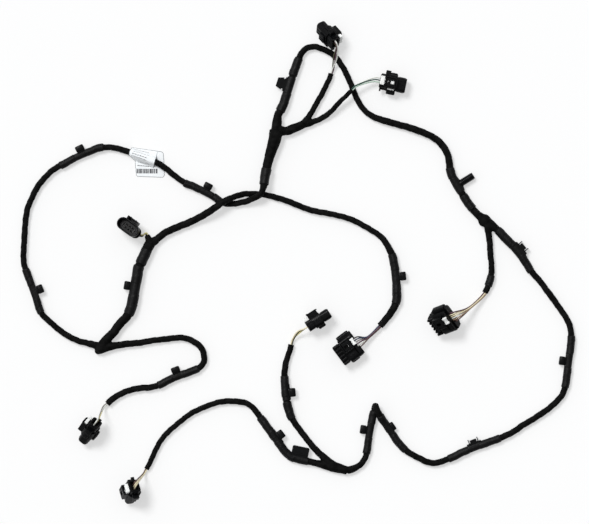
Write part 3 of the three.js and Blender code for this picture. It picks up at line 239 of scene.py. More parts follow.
def spline(places):
    """A centripetal curve through the places, as closely spaced samples."""
    ends = [places[0] * 2 - places[1], *places, places[-1] * 2 - places[-2]]
    out = []
    for a, b, c, d in zip(ends, ends[1:], ends[2:], ends[3:]):
        t0 = 0.0
        t1 = t0 + math.sqrt((b - a).length)
        t2 = t1 + math.sqrt((c - b).length)
        t3 = t2 + math.sqrt((d - c).length)
        steps = max(2, int((c - b).length / SAMPLE_STEP))
        for i in range(steps):
            t = t1 + (t2 - t1) * i / steps
            ab = a.lerp(b, (t - t0) / (t1 - t0))
            bc = b.lerp(c, (t - t1) / (t2 - t1))
            cd = c.lerp(d, (t - t2) / (t3 - t2))
            abc = ab.lerp(bc, (t - t0) / (t2 - t0))
            bcd = bc.lerp(cd, (t - t1) / (t3 - t1))
            out.append(abc.lerp(bcd, (t - t1) / (t2 - t1)))
    out.append(places[-1].copy())
    return out


def spaced(line, step):
    """The same line as points a near equal step apart."""
    run = [0.0]
    for a, b in zip(line, line[1:]):
        run.append(run[-1] + (b - a).length)
    count = max(3, round(run[-1] / step))
    out = []
    j = 0
    for i in range(count + 1):
        s = run[-1] * i / count
        while j < len(line) - 2 and run[j + 1] < s:
            j += 1
        share = (s - run[j]) / max(run[j + 1] - run[j], 1e-9)
        out.append(line[j].lerp(line[j + 1], min(1.0, share)))
    return out


def eased(line, width):
    """The line with its kinks evened out over a width in points; the ends stay."""
    for _ in range(width):
        line = [
            line[0],
            *[a * 0.25 + b * 0.5 + c * 0.25 for a, b, c in zip(line, line[1:], line[2:])],
            line[-1],
        ]
    return line


class Route:
    """A line of rings with, at each, its distance, direction, side and up."""

    def __init__(self, line):
        self.line = line
        self.run = [0.0]
        for a, b in zip(line, line[1:]):
            self.run.append(self.run[-1] + (b - a).length)
        self.length = self.run[-1]
        before = [line[0], *line[:-1]]
        after = [*line[1:], line[-1]]
        self.along = [(b - a).normalized() for a, b in zip(before, after)]
        up = Vector((0, 0, 1))
        self.up = []
        for direction in self.along:
            up = (up - direction * up.dot(direction)).normalized()
            self.up.append(up)

    def nearest(self, spot):
        """The index that is nearest to a spot as seen from above."""
        return min(range(len(self.line)), key=lambda i: (self.line[i].xy - spot.xy).length)

    def index(self, x, y):
        return self.nearest(on_board(x, y))

    def part(self, first, last):
        """The part between two indices, which keeps this route's ups."""
        piece = Route(self.line[first:last + 1])
        piece.up = self.up[first:last + 1]
        piece.along = self.along[first:last + 1]
        return piece


def own_radius(name, route):
    """The radius at every ring, from the table, eased between its places."""
    marks = [(route.index(x, y), r * MM) for x, y, r in RADII[name]]
    marks[0] = (0, marks[0][1])
    marks[-1] = (len(route.line) - 1, marks[-1][1])
    out = []
    k = 0
    for i in range(len(route.line)):
        while k < len(marks) - 2 and marks[k + 1][0] < i:
            k += 1
        (i0, r0), (i1, r1) = marks[k], marks[k + 1]
        share = min(1.0, max(0.0, (i - i0) / max(1, i1 - i0)))
        share = share * share * (3 - 2 * share)
        out.append(r0 + (r1 - r0) * share)
    return out


def make_route(name):
    radius = min(r for _, _, r in RADII[name]) * MM
    table = radius + BAND
    places = []
    for x, y, *lift in PLAN[name]:
        places.append(on_board(x, y, table + (lift[0] * MM if lift else 0)))
    line = eased(spaced(spline(places), RING_STEP), round(EASE / RING_STEP) ** 2)
    route = Route(line)
    for place, r in zip(line, own_radius(name, route)):
        place.z = max(place.z, r + BAND)
    return Route(line)


ROUTES = {name: make_route(name) for name in PLAN}

# Materials


def new_material(name):
    material = bpy.data.materials.new(name)
    material.use_nodes = True
    return material, material.node_tree


def node(tree, kind, **values):
    made = tree.nodes.new(kind)
    for key, value in values.items():
        if key in made.inputs:
            made.inputs[key].default_value = value
        else:
            setattr(made, key, value)
    return made


def shader_of(tree):
    return next(n for n in tree.nodes if n.type == "BSDF_PRINCIPLED")


def ramp(tree, source, low, high, start, end):
    made = tree.nodes.new("ShaderNodeValToRGB")
    made.color_ramp.elements[0].position = start
    made.color_ramp.elements[0].color = (*low, 1)
    made.color_ramp.elements[1].position = end
    made.color_ramp.elements[1].color = (*high, 1)
    tree.links.new(source, made.inputs["Fac"])
    return made.outputs["Color"]


def bump(tree, height, strength, distance, below=None):
    made = node(tree, "ShaderNodeBump", Strength=strength, Distance=distance)
    tree.links.new(height, made.inputs["Height"])
    if below:
        tree.links.new(below, made.inputs["Normal"])
    return made.outputs["Normal"]


def grain(tree, scale, detail):
    coordinates = tree.nodes.new("ShaderNodeTexCoord")
    made = node(tree, "ShaderNodeTexNoise", Scale=scale, Detail=detail)
    tree.links.new(coordinates.outputs["Object"], made.inputs["Vector"])
    return made.outputs["Fac"]


def tape_material(name, dark, light, rough_low, rough_high, weave, crease, shine):
    """Tape wound round a bundle: its threads run along and across the bundle's own map."""
    material, tree = new_material(name)
    shader = shader_of(tree)
    links = tree.links
    shader.inputs["Specular IOR Level"].default_value = shine
    patches = ramp(tree, grain(tree, scale=160, detail=5), dark, light, start=0.35, end=0.7)
    links.new(patches, shader.inputs["Base Color"])
    coordinates = tree.nodes.new("ShaderNodeTexCoord")
    threads = []
    for direction in ("X", "Y"):
        wave = node(tree, "ShaderNodeTexWave", Scale=weave, Distortion=0.6)
        wave.bands_direction = direction
        links.new(coordinates.outputs["UV"], wave.inputs["Vector"])
        threads.append(wave.outputs["Fac"])
    woven = node(tree, "ShaderNodeMath", operation="MULTIPLY")
    links.new(threads[0], woven.inputs[0])
    links.new(threads[1], woven.inputs[1])
    rough = node(tree, "ShaderNodeMapRange")
    rough.inputs["To Min"].default_value = rough_low
    rough.inputs["To Max"].default_value = rough_high
    links.new(grain(tree, scale=420, detail=2), rough.inputs["Value"])
    links.new(rough.outputs["Result"], shader.inputs["Roughness"])
    fine = bump(tree, woven.outputs["Value"], strength=0.5, distance=0.08 * MM)
    creases = grain(tree, scale=crease, detail=4)
    normal = bump(tree, creases, strength=0.7, distance=0.5 * MM, below=fine)
    links.new(normal, shader.inputs["Normal"])
    return material


def plastic_material(name, dark, light, roughness, shine=0.5):
    """Moulded plastic: a fine eroded grain, cloudy from place to place."""
    material, tree = new_material(name)
    shader = shader_of(tree)
    links = tree.links
    shader.inputs["Specular IOR Level"].default_value = shine
    colour = ramp(tree, grain(tree, scale=300, detail=4), dark, light, start=0.3, end=0.75)
    links.new(colour, shader.inputs["Base Color"])
    rough = node(tree, "ShaderNodeMapRange")
    rough.inputs["To Min"].default_value = roughness - 0.07
    rough.inputs["To Max"].default_value = roughness + 0.1
    links.new(grain(tree, scale=900, detail=2), rough.inputs["Value"])
    links.new(rough.outputs["Result"], shader.inputs["Roughness"])
    pores = grain(tree, scale=2600, detail=2)
    links.new(bump(tree, pores, strength=0.25, distance=0.05 * MM), shader.inputs["Normal"])
    return material


CLOTH = tape_material(
    "cloth_tape", dark=(0.0006, 0.0006, 0.0006), light=(0.0056, 0.0056, 0.0055),
    rough_low=0.6, rough_high=0.82, weave=330, crease=420, shine=0.08,
)
SMOOTH = tape_material(
    "smooth_tape", dark=(0.001, 0.001, 0.0012), light=(0.0044, 0.0044, 0.005),
    rough_low=0.4, rough_high=0.58, weave=60, crease=260, shine=0.16,
)
BLACK = plastic_material(
    "black_plastic", (0.0008, 0.0009, 0.0011), (0.003, 0.0034, 0.0042), roughness=0.34, shine=0.12,
)
WHITE = plastic_material("white_plastic", (0.88, 0.9, 0.89), (0.95, 0.96, 0.95), roughness=0.42)
PAPER = plastic_material(
    "label_film", (0.88, 0.92, 0.95), (0.95, 0.97, 0.98), roughness=0.45, shine=0.3,
)
PRINT = plastic_material("label_print", (0.03, 0.03, 0.035), (0.09, 0.09, 0.1), roughness=0.6)
# Grey for the thin tubes along the label's edges: painted shade, standing in for the shadow along the
# film's edge.
EDGE_SHADE = plastic_material("label_rim", (0.2, 0.22, 0.24), (0.34, 0.36, 0.38), roughness=0.5)
PIN = plastic_material("pin_metal", (0.012, 0.011, 0.01), (0.03, 0.027, 0.022), roughness=0.4)

WIRE_COLOURS = {
    "white": (0.78, 0.8, 0.76),
    "cream": (0.8, 0.72, 0.5),
    "yellow": (0.78, 0.7, 0.3),
    "brown": (0.1, 0.05, 0.04),
    "violet": (0.09, 0.035, 0.06),
    "olive": (0.07, 0.068, 0.03),
    "green": (0.01, 0.06, 0.045),
    "pale_green": (0.5, 0.66, 0.55),
    "blue": (0.03, 0.045, 0.09),
    "grey": (0.26, 0.24, 0.23),
    "tan": (0.36, 0.25, 0.17),
    "black": (0.008, 0.008, 0.009),
}


def wire_material(colour):
    red, green, blue = WIRE_COLOURS[colour]
    dark = (red * 0.86, green * 0.86, blue * 0.84)
    return plastic_material(f"wire_{colour}", dark, (red, green, blue), roughness=0.38)


WIRES = {colour: wire_material(colour) for colour in WIRE_COLOURS}

# Meshes


def add_object(name, bm, materials, smooth=True):
    mesh = bpy.data.meshes.new(name)
    bm.to_mesh(mesh)
    bm.free()
    for material in materials:
        mesh.materials.append(material)
    if smooth:
        mesh.shade_smooth()
    made = bpy.data.objects.new(name, mesh)
    bpy.context.scene.collection.objects.link(made)
    return made


MAP_UNIT = 100  # millimetres to one unit of a tube's map


def keep_above_table(vertices):
    for vertex in vertices:
        vertex.co.z = max(vertex.co.z, ON_TABLE)


def melt(piece, voxel, rounds):
    """Joins solids that overlap into one smooth skin."""
    remesh = piece.modifiers.new("remesh", "REMESH")
    remesh.mode = "VOXEL"
    remesh.voxel_size = voxel
    smooth = piece.modifiers.new("smooth", "SMOOTH")
    smooth.factor = 0.6
    smooth.iterations = rounds


def add_tube(bm, route, radius, sides=SIDES, material=0):
    """A closed tube whose radius is given at each ring and angle."""
    uv = bm.loops.layers.uv.verify()
    rings = []
    for i, place in enumerate(route.line):
        side = route.along[i].cross(route.up[i])
        ring = []
        for k in range(sides):
            angle = 2 * math.pi * k / sides
            r = radius(i, angle)
            offset = side * math.cos(angle) * r + route.up[i] * math.sin(angle) * r
            spot = place + offset
            spot.z = max(spot.z, ON_TABLE)
            ring.append(bm.verts.new(spot))
        rings.append(ring)
    girth = 2 * math.pi * radius(0, 0.0)
    for i, (near, far) in enumerate(zip(rings, rings[1:])):
        for k in range(sides):
            after = (k + 1) % sides
            face = bm.faces.new((near[k], near[after], far[after], far[k]))
            face.material_index = material
            corners = ((k, i), (k + 1, i), (k + 1, i + 1), (k, i + 1))
            for loop, (u, v) in zip(face.loops, corners):
                loop[uv].uv = (u / sides * girth / MM / MAP_UNIT, route.run[v] / MM / MAP_UNIT)
    for ring, inward in ((rings[0], 1), (rings[-1], 0)):
        centre = bm.verts.new(sum((v.co for v in ring), Vector()) / sides)
        for k in range(sides):
            pair = (ring[k], ring[(k + 1) % sides])
            corners = (pair[1], pair[0], centre) if inward else (*pair, centre)
            bm.faces.new(corners).material_index = material


LAP = 10.5 * MM  # from one turn of the cloth tape to the next
LAP_STEP = 0.42 * MM
LUMP = 0.3 * MM
BAND_LAP = 13 * MM
BAND_STEP = 0.35 * MM
BAND_LUMP = 0.35 * MM
BAND_SLOPE = 0.5 * MM


def wound(route, radii, seed, lap=LAP, step=LAP_STEP, lump=LUMP):
    """The radius of a wound bundle: laps of tape over a core that isn't quite round."""

    def radius(i, angle):
        turns = route.run[i] / lap + angle / (2 * math.pi)
        rise = (turns % 1.0) * step
        place = Vector((math.cos(angle) * 0.8, math.sin(angle) * 0.8 + seed, route.run[i] * 90))
        return radii[i] - step / 2 + rise + noise.noise(place) * lump

    return radius


def flat_ends(radii, ends, rise, run):
    """Raises the radii by a tape's thickness, with a short slope at both ends."""
    out = []
    for i, r in enumerate(radii):
        share = min(1.0, min(run[i], run[-1] - run[i]) / ends)
        out.append(r + rise * share)
    return out


FORK_SPLIT = 12  # the fork is all wrap: this much of it belongs to the wrap at its root
FORK_LAP = 3  # how far the other wrap laps over that one
FORK_REST = ROUTES["fork"].length / MM - FORK_SPLIT + FORK_LAP
# Wraps: where bundles split. Each arm is a route, the end that it starts from and its length.
WRAPS = {
    "wrap_lower_left": [("loop", -1, 13), ("trunk", 1, 24), ("lower_left", 1, 22)],
    "wrap_three_way": [("trunk", -1, 10), ("cross", 1, 11), ("stub", 1, 11)],
    "wrap_top": [("loop", 1, 34), ("upper_right", 1, 17), ("fork", 1, FORK_SPLIT)],
    "wrap_top_fork": [("fork", -1, FORK_REST), ("top", 1, 12), ("top_side", 1, 12)],
    "wrap_right": [("upper_right", -1, 14), ("right_side", 1, 14), ("right_drop", 1, 14)],
    "wrap_bottom": [("right_side", -1, 12), ("centre", 1, 37), ("bottom_left", 1, 37)],
}
LUMPS = {  # board spot, half width and half height of a taped lump
    "wrap_lower_left": (98.3, 350.9, 4, 4),
    "wrap_right": (484.4, 220.6, 7.6, 5),
}
TUCK = 2.5 * MM  # how far a bundle reaches into a wrap
WRAP_RISE = BAND * 1.4  # what a wrap adds to a radius at its root
WRAP_VOXEL = 0.7 * MM


def cut_ends(name):
    """The indices between which a route is a bundle, clear of the wraps."""
    route = ROUTES[name]
    first, last = 0, len(route.line) - 1
    for arms in WRAPS.values():
        for arm, end, length in arms:
            if arm != name:
                continue
            reach = length * MM - TUCK
            if end == 1:
                first = next(i for i, s in enumerate(route.run) if s >= reach)
            else:
                last = next(i for i, s in enumerate(route.run) if s >= route.length - reach)
    return first, last


pieces_of = {}
for seed, name in enumerate(PLAN):
    if name in ("fork", "stub"):
        continue
    route = ROUTES[name]
    first, last = cut_ends(name)
    radii = own_radius(name, route)
    part = route.part(first, last)
    bm = bmesh.new()
    add_tube(bm, part, wound(part, radii[first:last + 1], seed * 7.3))
    cloth = add_object(f"{name}_cloth", bm, [CLOTH])
    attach(cloth, "root")
    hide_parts(f"{name}_bundle")
    pieces_of[name] = []
    if BANDS[name]:
        bm = bmesh.new()
        for x0, y0, x1, y1 in BANDS[name]:
            low, high = sorted((route.index(x0, y0), route.index(x1, y1)))
            band = route.part(low, high)
            raised = flat_ends(radii[low:high + 1], BAND_SLOPE, BAND + BAND_STEP, band.run)
            add_tube(bm, band, wound(band, raised, low * 0.7, BAND_LAP, BAND_STEP, BAND_LUMP))
        tape = add_object(f"{name}_bands", bm, [SMOOTH])
        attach(tape, "root")
        pieces_of[name].append(tape)

for name, arms in WRAPS.items():
    bm = bmesh.new()
    for arm, end, length in arms:
        route = ROUTES[arm]
        radii = own_radius(arm, route)
        inside = [
            i for i, s in enumerate(route.run)
            if (s if end == 1 else route.length - s) <= length * MM
        ]
        low, high = inside[0], inside[-1]
        part = route.part(low, high)
        reach = [s if end == 1 else part.run[-1] - s for s in part.run]
        thick = [
            radii[low + i] + WRAP_RISE * (1 - min(1.0, s / (length * MM)) ** 3)
            for i, s in enumerate(reach)
        ]
        add_tube(bm, part, lambda i, angle, thick=thick: thick[i])
    if name in LUMPS:
        x, y, wide, high = LUMPS[name]
        place = Matrix.Translation(on_board(x, y, high * MM))
        place = place @ Matrix.Diagonal((wide, wide, high, 1))
        bmesh.ops.create_uvsphere(bm, u_segments=24, v_segments=16, radius=MM, matrix=place)
    wrap = add_object(f"{name}_cloth", bm, [CLOTH])
    melt(wrap, WRAP_VOXEL, rounds=6)
    depsgraph = bpy.context.evaluated_depsgraph_get()
    mesh = bpy.data.meshes.new_from_object(wrap.evaluated_get(depsgraph))
    wrap.modifiers.clear()
    wrap.data = mesh
    for vertex in mesh.vertices:
        rough = noise.noise(vertex.co / (4 * MM)) * 0.3 + noise.noise(vertex.co / (9 * MM)) * 0.35
        vertex.co += vertex.normal * rough * MM
        keep_above_table([vertex])
    mesh.shade_smooth()
    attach(wrap, "root")
    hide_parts(name)

# Sizes of the moulded parts, in millimetres: x forward to the mating face, y left and z up to
# the latch. NOSE, WIDE and OVAL are each a length, width, height and corner radius.
NOSE = (31.0, 16.8, 11.2, 3.6)
SHROUD_FROM = 9.0
SHROUD_TO = 20.0
SHROUD_RING = 2.0  # from the nose to the shroud's outside
SHROUD_GAP = 0.9
SHROUD_TOP = NOSE[2] / 2 + SHROUD_RING
RAIL_TOP = SHROUD_TOP + 5
ARM_TOP = RAIL_TOP - 0.3
ARM_HALF = 4.7
WIDE = (28.6, 24.4, 13.0, 2.0)
WIDE_TO = 19.6
WIDE_RING = 2.5
WIDE_TOP = WIDE[2] / 2 + WIDE_RING
WIDE_RAIL_TOP = WIDE_TOP + 5
WIDE_ARM_TOP = WIDE_RAIL_TOP - 0.3
OVAL = (23.0, 28.0, 14.6, 7.2)
OVAL_STEP = 13.0
OVAL_FLOOR = 13.0
OVAL_WALL = 1.5
PIN_PITCH = 4.0
PIN_ROW = 1.9
CORNER_STEPS = 5

# Wires. Connectors: the board spot and height of the middle of the rear face, heading, dip
# and roll in degrees, the depth of the recess, and the wires' colours.
CONNECTORS = {
    "top": ((335.3, 44.3, 23.38), 131, 32, 120, 4.5, ("white", "violet", "olive")),
    "top_side": ((379.3, 80.8, 9.7), -12, 0, 0, 4.5, ("white", "green", "pale_green")),
    "lower_left": ((96.8, 421.8, 25.39), 235, 38, 95, 4.5, ("white", "grey", "yellow")),
    "bottom_left": ((135.4, 484.4, 30.23), 242, 57, 49, 4.5, ("cream", "cream", "brown")),
    "centre": ((306.9, 327.2, 13.3), 33, 0, -90, 4.5, ("yellow", "olive", "cream")),
    "cross": (
        (358.2, 341.8, 9), 216.9, 0, 0, 6.4,
        ("brown", "white", "violet", "grey", "blue", "black"),
    ),
    "right": (
        (453.2, 316.4, 25.63), 202, 34, -26, 6.4,
        ("brown", "tan", "white", "cream", "cream", "violet"),
    ),
    "oval": ((130.6, 229, 1.78), 135, -81, 99, 4.5, ("black", "yellow", "cream", "black")),
}
WIRE_END = {"right": "right_drop", "oval": "stub"}  # routes with another name than theirs
OVER = {"top": (335.4, 57, 13.4), "centre": (299, 331.8, 9.5)}  # spots that a fan passes
GATHER = {"cross": (367.6, 337.6, 7), "right": (469.5, 307.5, 13)}  # ends of its bunch
OVAL_ENDS = [(3, 2, -1.75), (3, 2, 0), (1.3, 2, 0), (1.3, 2, -1.75)]  # its wires, in two layers
SMALL_SPREAD = 2.6  # between neighbours in a recess
WIDE_SPREAD = 2.5
SMALL_COUNT = 3
WIRE_SIDES = 12
WIRE_STEP = 1.2 * MM
WIRE_RADIUS = 0.75 * MM
WIRE_PITCH = 1.68 * MM  # between neighbours in a bundle


def placed(spot, heading, dip, roll):
    x, y, z = spot
    turn = (
        Matrix.Rotation(math.radians(heading), 4, "Z")
        @ Matrix.Rotation(math.radians(dip), 4, "Y")
        @ Matrix.Rotation(math.radians(roll), 4, "X")
    )
    return Matrix.Translation(on_board(x, y, z * MM)) @ turn


def gathered(name, near, offset):
    """Where a fan's wires still run as one bunch."""
    if name == "oval":
        return []
    if name in GATHER:
        x, y, z = GATHER[name]
        return [on_board(x, y, z * MM) + offset * 0.9]
    return [near + offset]


for name, (spot, heading, dip, roll, recess, colours) in CONNECTORS.items():
    matrix = placed(spot, heading, dip, roll)
    stem = WIRE_END.get(name, name)
    route = ROUTES[stem]
    end = route.line[-1]
    along = route.along[-1]
    side = Vector((0, 0, 1)).cross(along).normalized()
    up = along.cross(side)
    count = len(colours)
    pack = WIRE_PITCH / 2 / math.sin(math.pi / count)
    spread = WIDE_SPREAD if count > SMALL_COUNT else SMALL_SPREAD
    offsets = []
    for i in range(count):
        angle = 2 * math.pi * (i + 0.5) / count
        offsets.append(side * pack * math.cos(angle) + up * pack * math.sin(angle))
    if name != "oval":
        across = matrix.to_3x3() @ Vector((0, 1, 0))
        offsets.sort(key=across.dot, reverse=True)
    bm = bmesh.new()
    for i, offset in enumerate(offsets):
        slot = i - (count - 1) / 2
        if name == "oval":
            inner = Vector(OVAL_ENDS[i])
            outer = inner + Vector((0, OVAL[1] / 2, 2.4))
        else:
            inner = Vector((recess - 0.3, -slot * spread, 0))
            outer = Vector((-2 if name in OVER or name in GATHER else -5, inner.y * 0.9, 0))
        through = []
        if name in OVER:
            x, y, z = OVER[name]
            through.append(on_board(x - slot * 1.8, y, z * MM))
        places = [
            end - along * 3 * MM + offset * 0.9,
            end + along * 1.2 * MM + offset,
            *gathered(name, end + along * 5 * MM, offset),
            *through,
            matrix @ (outer * MM),
            matrix @ (inner * MM),
        ]
        wire = Route(spaced(spline(places), WIRE_STEP))
        add_tube(bm, wire, lambda ring, angle: WIRE_RADIUS, WIRE_SIDES, i)
    wires = add_object(f"{name}_insulation", bm, [WIRES[c] for c in colours])
    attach(wires, "root")
    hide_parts(f"{name}_wires")
    if stem in pieces_of:
        pieces_of[stem].append(wires)

# Moulded parts


def block(bm, low, high, soften=0.3):
    """A box with softened edges."""
    corners = bmesh.ops.create_cube(bm, size=1)["verts"]
    size = [b - a for a, b in zip(low, high)]
    middle = [(a + b) / 2 for a, b in zip(low, high)]
    for vertex in corners:
        vertex.co = Vector([c * s + m for c, s, m in zip(vertex.co, size, middle)])
    edges = list(dict.fromkeys(edge for vertex in corners for edge in vertex.link_edges))
    width = min(soften, min(size) * 0.3)
    bmesh.ops.bevel(bm, geom=edges, offset=width, segments=2, profile=0.5, affect="EDGES")


def section(x, width, height, radius, y=0.0, z=0.0):
    """A rectangle across x with round corners, as a ring of points."""
    radius = max(0.05, min(radius, width / 2 - 0.01, height / 2 - 0.01))
    ring = []
    for k, (right, upper) in enumerate(((1, -1), (1, 1), (-1, 1), (-1, -1))):
        for i in range(CORNER_STEPS + 1):
            angle = math.pi / 2 * (k - 1 + i / CORNER_STEPS)
            across = y + right * (width / 2 - radius) + radius * math.cos(angle)
            rise = z + upper * (height / 2 - radius) + radius * math.sin(angle)
            ring.append(Vector((x, across, rise)))
    return ring


def loft(bm, *sections):
    """A closed skin through rings of points, which may turn back in on itself."""
    rings = [[bm.verts.new(point) for point in ring] for ring in sections]
    for near, far in zip(rings, rings[1:]):
        for i, corner in enumerate(near):
            j = (i + 1) % len(near)
            bm.faces.new((corner, near[j], far[j], far[i]))
    bm.faces.new(rings[0])
    bm.faces.new(rings[-1])


def solid_loft(bm, x0, x1, width, height, radius, y=0.0, z=0.0, soften=0.5):
    loft(
        bm,
        section(x0, width - 2 * soften, height - 2 * soften, radius - soften, y, z),
        section(x0 + soften * 0.3, width - 0.6 * soften, height - 0.6 * soften, radius, y, z),
        section(x0 + soften, width, height, radius, y, z),
        section(x1 - soften, width, height, radius, y, z),
        section(x1 - soften * 0.3, width - 0.6 * soften, height - 0.6 * soften, radius, y, z),
        section(x1, width - 2 * soften, height - 2 * soften, radius - soften, y, z),
    )


def cup(bm, x0, floor, x1, width, height, radius, wall):
    """A cup that is open at x1, with its floor on the way; the other end is closed."""
    lip = 0.3 if x1 > x0 else -0.3
    inner = (width - 2 * wall, height - 2 * wall, radius - wall)
    loft(
        bm,
        section(x0, width - 0.6, height - 0.6, radius - 0.3),
        section(x0 + lip, width, height, radius),
        section(x1 - lip, width, height, radius),
        section(x1, width - 0.6, height - 0.6, radius - 0.3),
        section(x1, inner[0] + 0.6, inner[1] + 0.6, inner[2] + 0.3),
        section(x1 - lip, *inner),
        section(floor, *inner),
    )


def carved(bm, *boxes):
    """The same solids without some boxes, each given as its low and high corners."""
    made = []
    cutter = bmesh.new()
    for low, high in boxes:
        block(cutter, low, high, 0.12)
    for part in (bm, cutter):
        bmesh.ops.recalc_face_normals(part, faces=part.faces)
        made.append(add_object("carving", part, [], smooth=False))
    body, tool = made
    cut = body.modifiers.new("cut", "BOOLEAN")
    cut.operation = "DIFFERENCE"
    cut.solver = "EXACT"
    cut.object = tool
    depsgraph = bpy.context.evaluated_depsgraph_get()
    result = bpy.data.meshes.new_from_object(body.evaluated_get(depsgraph))
    out = bmesh.new()
    out.from_mesh(result)
    for done in made:
        bpy.data.objects.remove(done)
    return out


def joined(*parts):
    whole = bmesh.new()
    for part in parts:
        bmesh.ops.recalc_face_normals(part, faces=part.faces)
        mesh = bpy.data.meshes.new("part")
        part.to_mesh(mesh)
        part.free()
        whole.from_mesh(mesh)
    return whole


def ridges(bm, xs, low, high, side):
    """Thin ridges across y on top of a face at z = side."""
    for x in xs:
        block(bm, (x - 0.2, low, side - 0.2), (x + 0.2, high, side + 0.3), 0.12)


def small_housing():
    length, width, height, corner = NOSE
    nose = bmesh.new()
    solid_loft(nose, SHROUD_FROM, length, width, height, corner, soften=0.8)
    holes = [((length - 4, y - 1.1, -1.4), (length + 1, y + 1.1, 1.2)) for y in (-4.6, 0, 4.6)]
    holes.append(((length - 2, -7.4, 2.6), (length + 1, -3.4, 3.4)))
    nose = carved(nose, *holes)
    rest = bmesh.new()
    outer = (width + 2 * SHROUD_RING, height + 2 * SHROUD_RING, corner + SHROUD_RING)
    cup(rest, SHROUD_FROM, SHROUD_TO - 7, SHROUD_TO, *outer, SHROUD_RING - SHROUD_GAP)
    cup(rest, 10, 4.5, 0.6, 15.4, 12.4, 2.6, 2.4)
    side = width / 2
    block(rest, (5.6, side - 2, -4), (11.5, side + 4.9, 4), 0.5)
    block(rest, (6.4, side + 4.2, -2.6), (10.6, side + 5.1, 2.6), 0.25)
    block(rest, (11.5, side - 1, -3), (19.4, side + 3.3, 3), 0.5)
    block(rest, (12.6, side + 2.6, -0.5), (18.6, side + 3.6, 0.5), 0.2)
    block(rest, (1.4, side - 1.6, -3), (5.6, side + 0.4, 2), 0.3)
    block(rest, (10, -side - 4.7, -4), (SHROUD_TO, -side + 1, 2.4), 0.5)
    for z in (-2.6, -0.8, 1.0):
        block(rest, (11, -side - 4.95, z - 0.3), (SHROUD_TO - 1, -side - 4, z + 0.3), 0.15)
    block(rest, (2, -side - 1.4, -3), (10, -side + 1, 1), 0.3)
    block(rest, (1.6, -side - 3.4, -3), (3.4, -side + 1, 1), 0.3)
    block(rest, (11.2, -5, -SHROUD_TOP - 2.1), (SHROUD_TO, 5, -SHROUD_TOP + 1), 0.5)
    for y in (-3.2, 0, 3.2):
        block(rest, (12, y - 0.4, -SHROUD_TOP - 2.4), (SHROUD_TO - 0.8, y + 0.4, -SHROUD_TOP), 0.15)
    for hand in (-1, 1):
        low, high = sorted((hand * (ARM_HALF + 0.3), hand * (ARM_HALF + 1.8)))
        block(rest, (7, low, SHROUD_TOP - 2), (SHROUD_TO - 0.6, high, RAIL_TOP), 0.35)
        y = hand * side
        block(rest, (SHROUD_TO + 1.6, y - 0.5, -0.5), (length - 1.8, y + 0.5, 0.5), 0.15)
    for y in (-4.6, 0, 4.6):
        for z in (-height / 2, height / 2):
            block(rest, (SHROUD_TO + 1.4, y - 0.5, z - 0.5), (length - 1.6, y + 0.5, z + 0.5), 0.2)
    low, high = SHROUD_TOP - 1, ARM_TOP
    block(rest, (SHROUD_TO - 1.8, -ARM_HALF - 1, low), (SHROUD_TO - 0.6, ARM_HALF + 1, high), 0.3)
    arm = bmesh.new()
    block(arm, (6.4, -ARM_HALF, ARM_TOP - 1.3), (SHROUD_TO + 0.6, ARM_HALF, ARM_TOP), 0.3)
    arm = carved(
        arm,
        ((12.6, -1.9, ARM_TOP - 3), (17.6, 2.5, ARM_TOP + 2)),
        ((9.2, -0.6, ARM_TOP - 3), (10.4, 2, ARM_TOP + 2)),
    )
    press = bmesh.new()
    block(press, (6.4, -ARM_HALF, ARM_TOP - 1), (8.4, ARM_HALF, ARM_TOP + 0.7), 0.35)
    ridges(press, (6.9, 7.5, 8.1), -ARM_HALF + 0.6, ARM_HALF - 0.6, ARM_TOP + 0.6)
    return joined(nose, rest, arm, press)


def small_lock(foot):
    bm = bmesh.new()
    low = SHROUD_TOP + 0.3
    high = low + 1.1
    block(bm, (4, -3.2, low), (17, 3.2, high), 0.2)
    block(bm, (13, -1.4, low), (17, 2, high + 1.9), 0.3)
    block(bm, (9.3, -0.4, low), (10.3, 1.8, high + 1.9), 0.1)
    heel = bmesh.new()
    block(heel, (0.9, -4.3, 6.9), (5.7, 5.8, high + 1.4), 0.4)
    heel = carved(heel, ((2.6, -5, high + 0.8), (3.2, 7, high + 2)), ((0, 0.4, 8), (2, 1.6, high)))
    if foot:
        block(bm, (10.5, -8.3, SHROUD_TOP - 0.4), (18.4, -6.8, SHROUD_TOP + 0.35), 0.15)
    return joined(bm, heel)


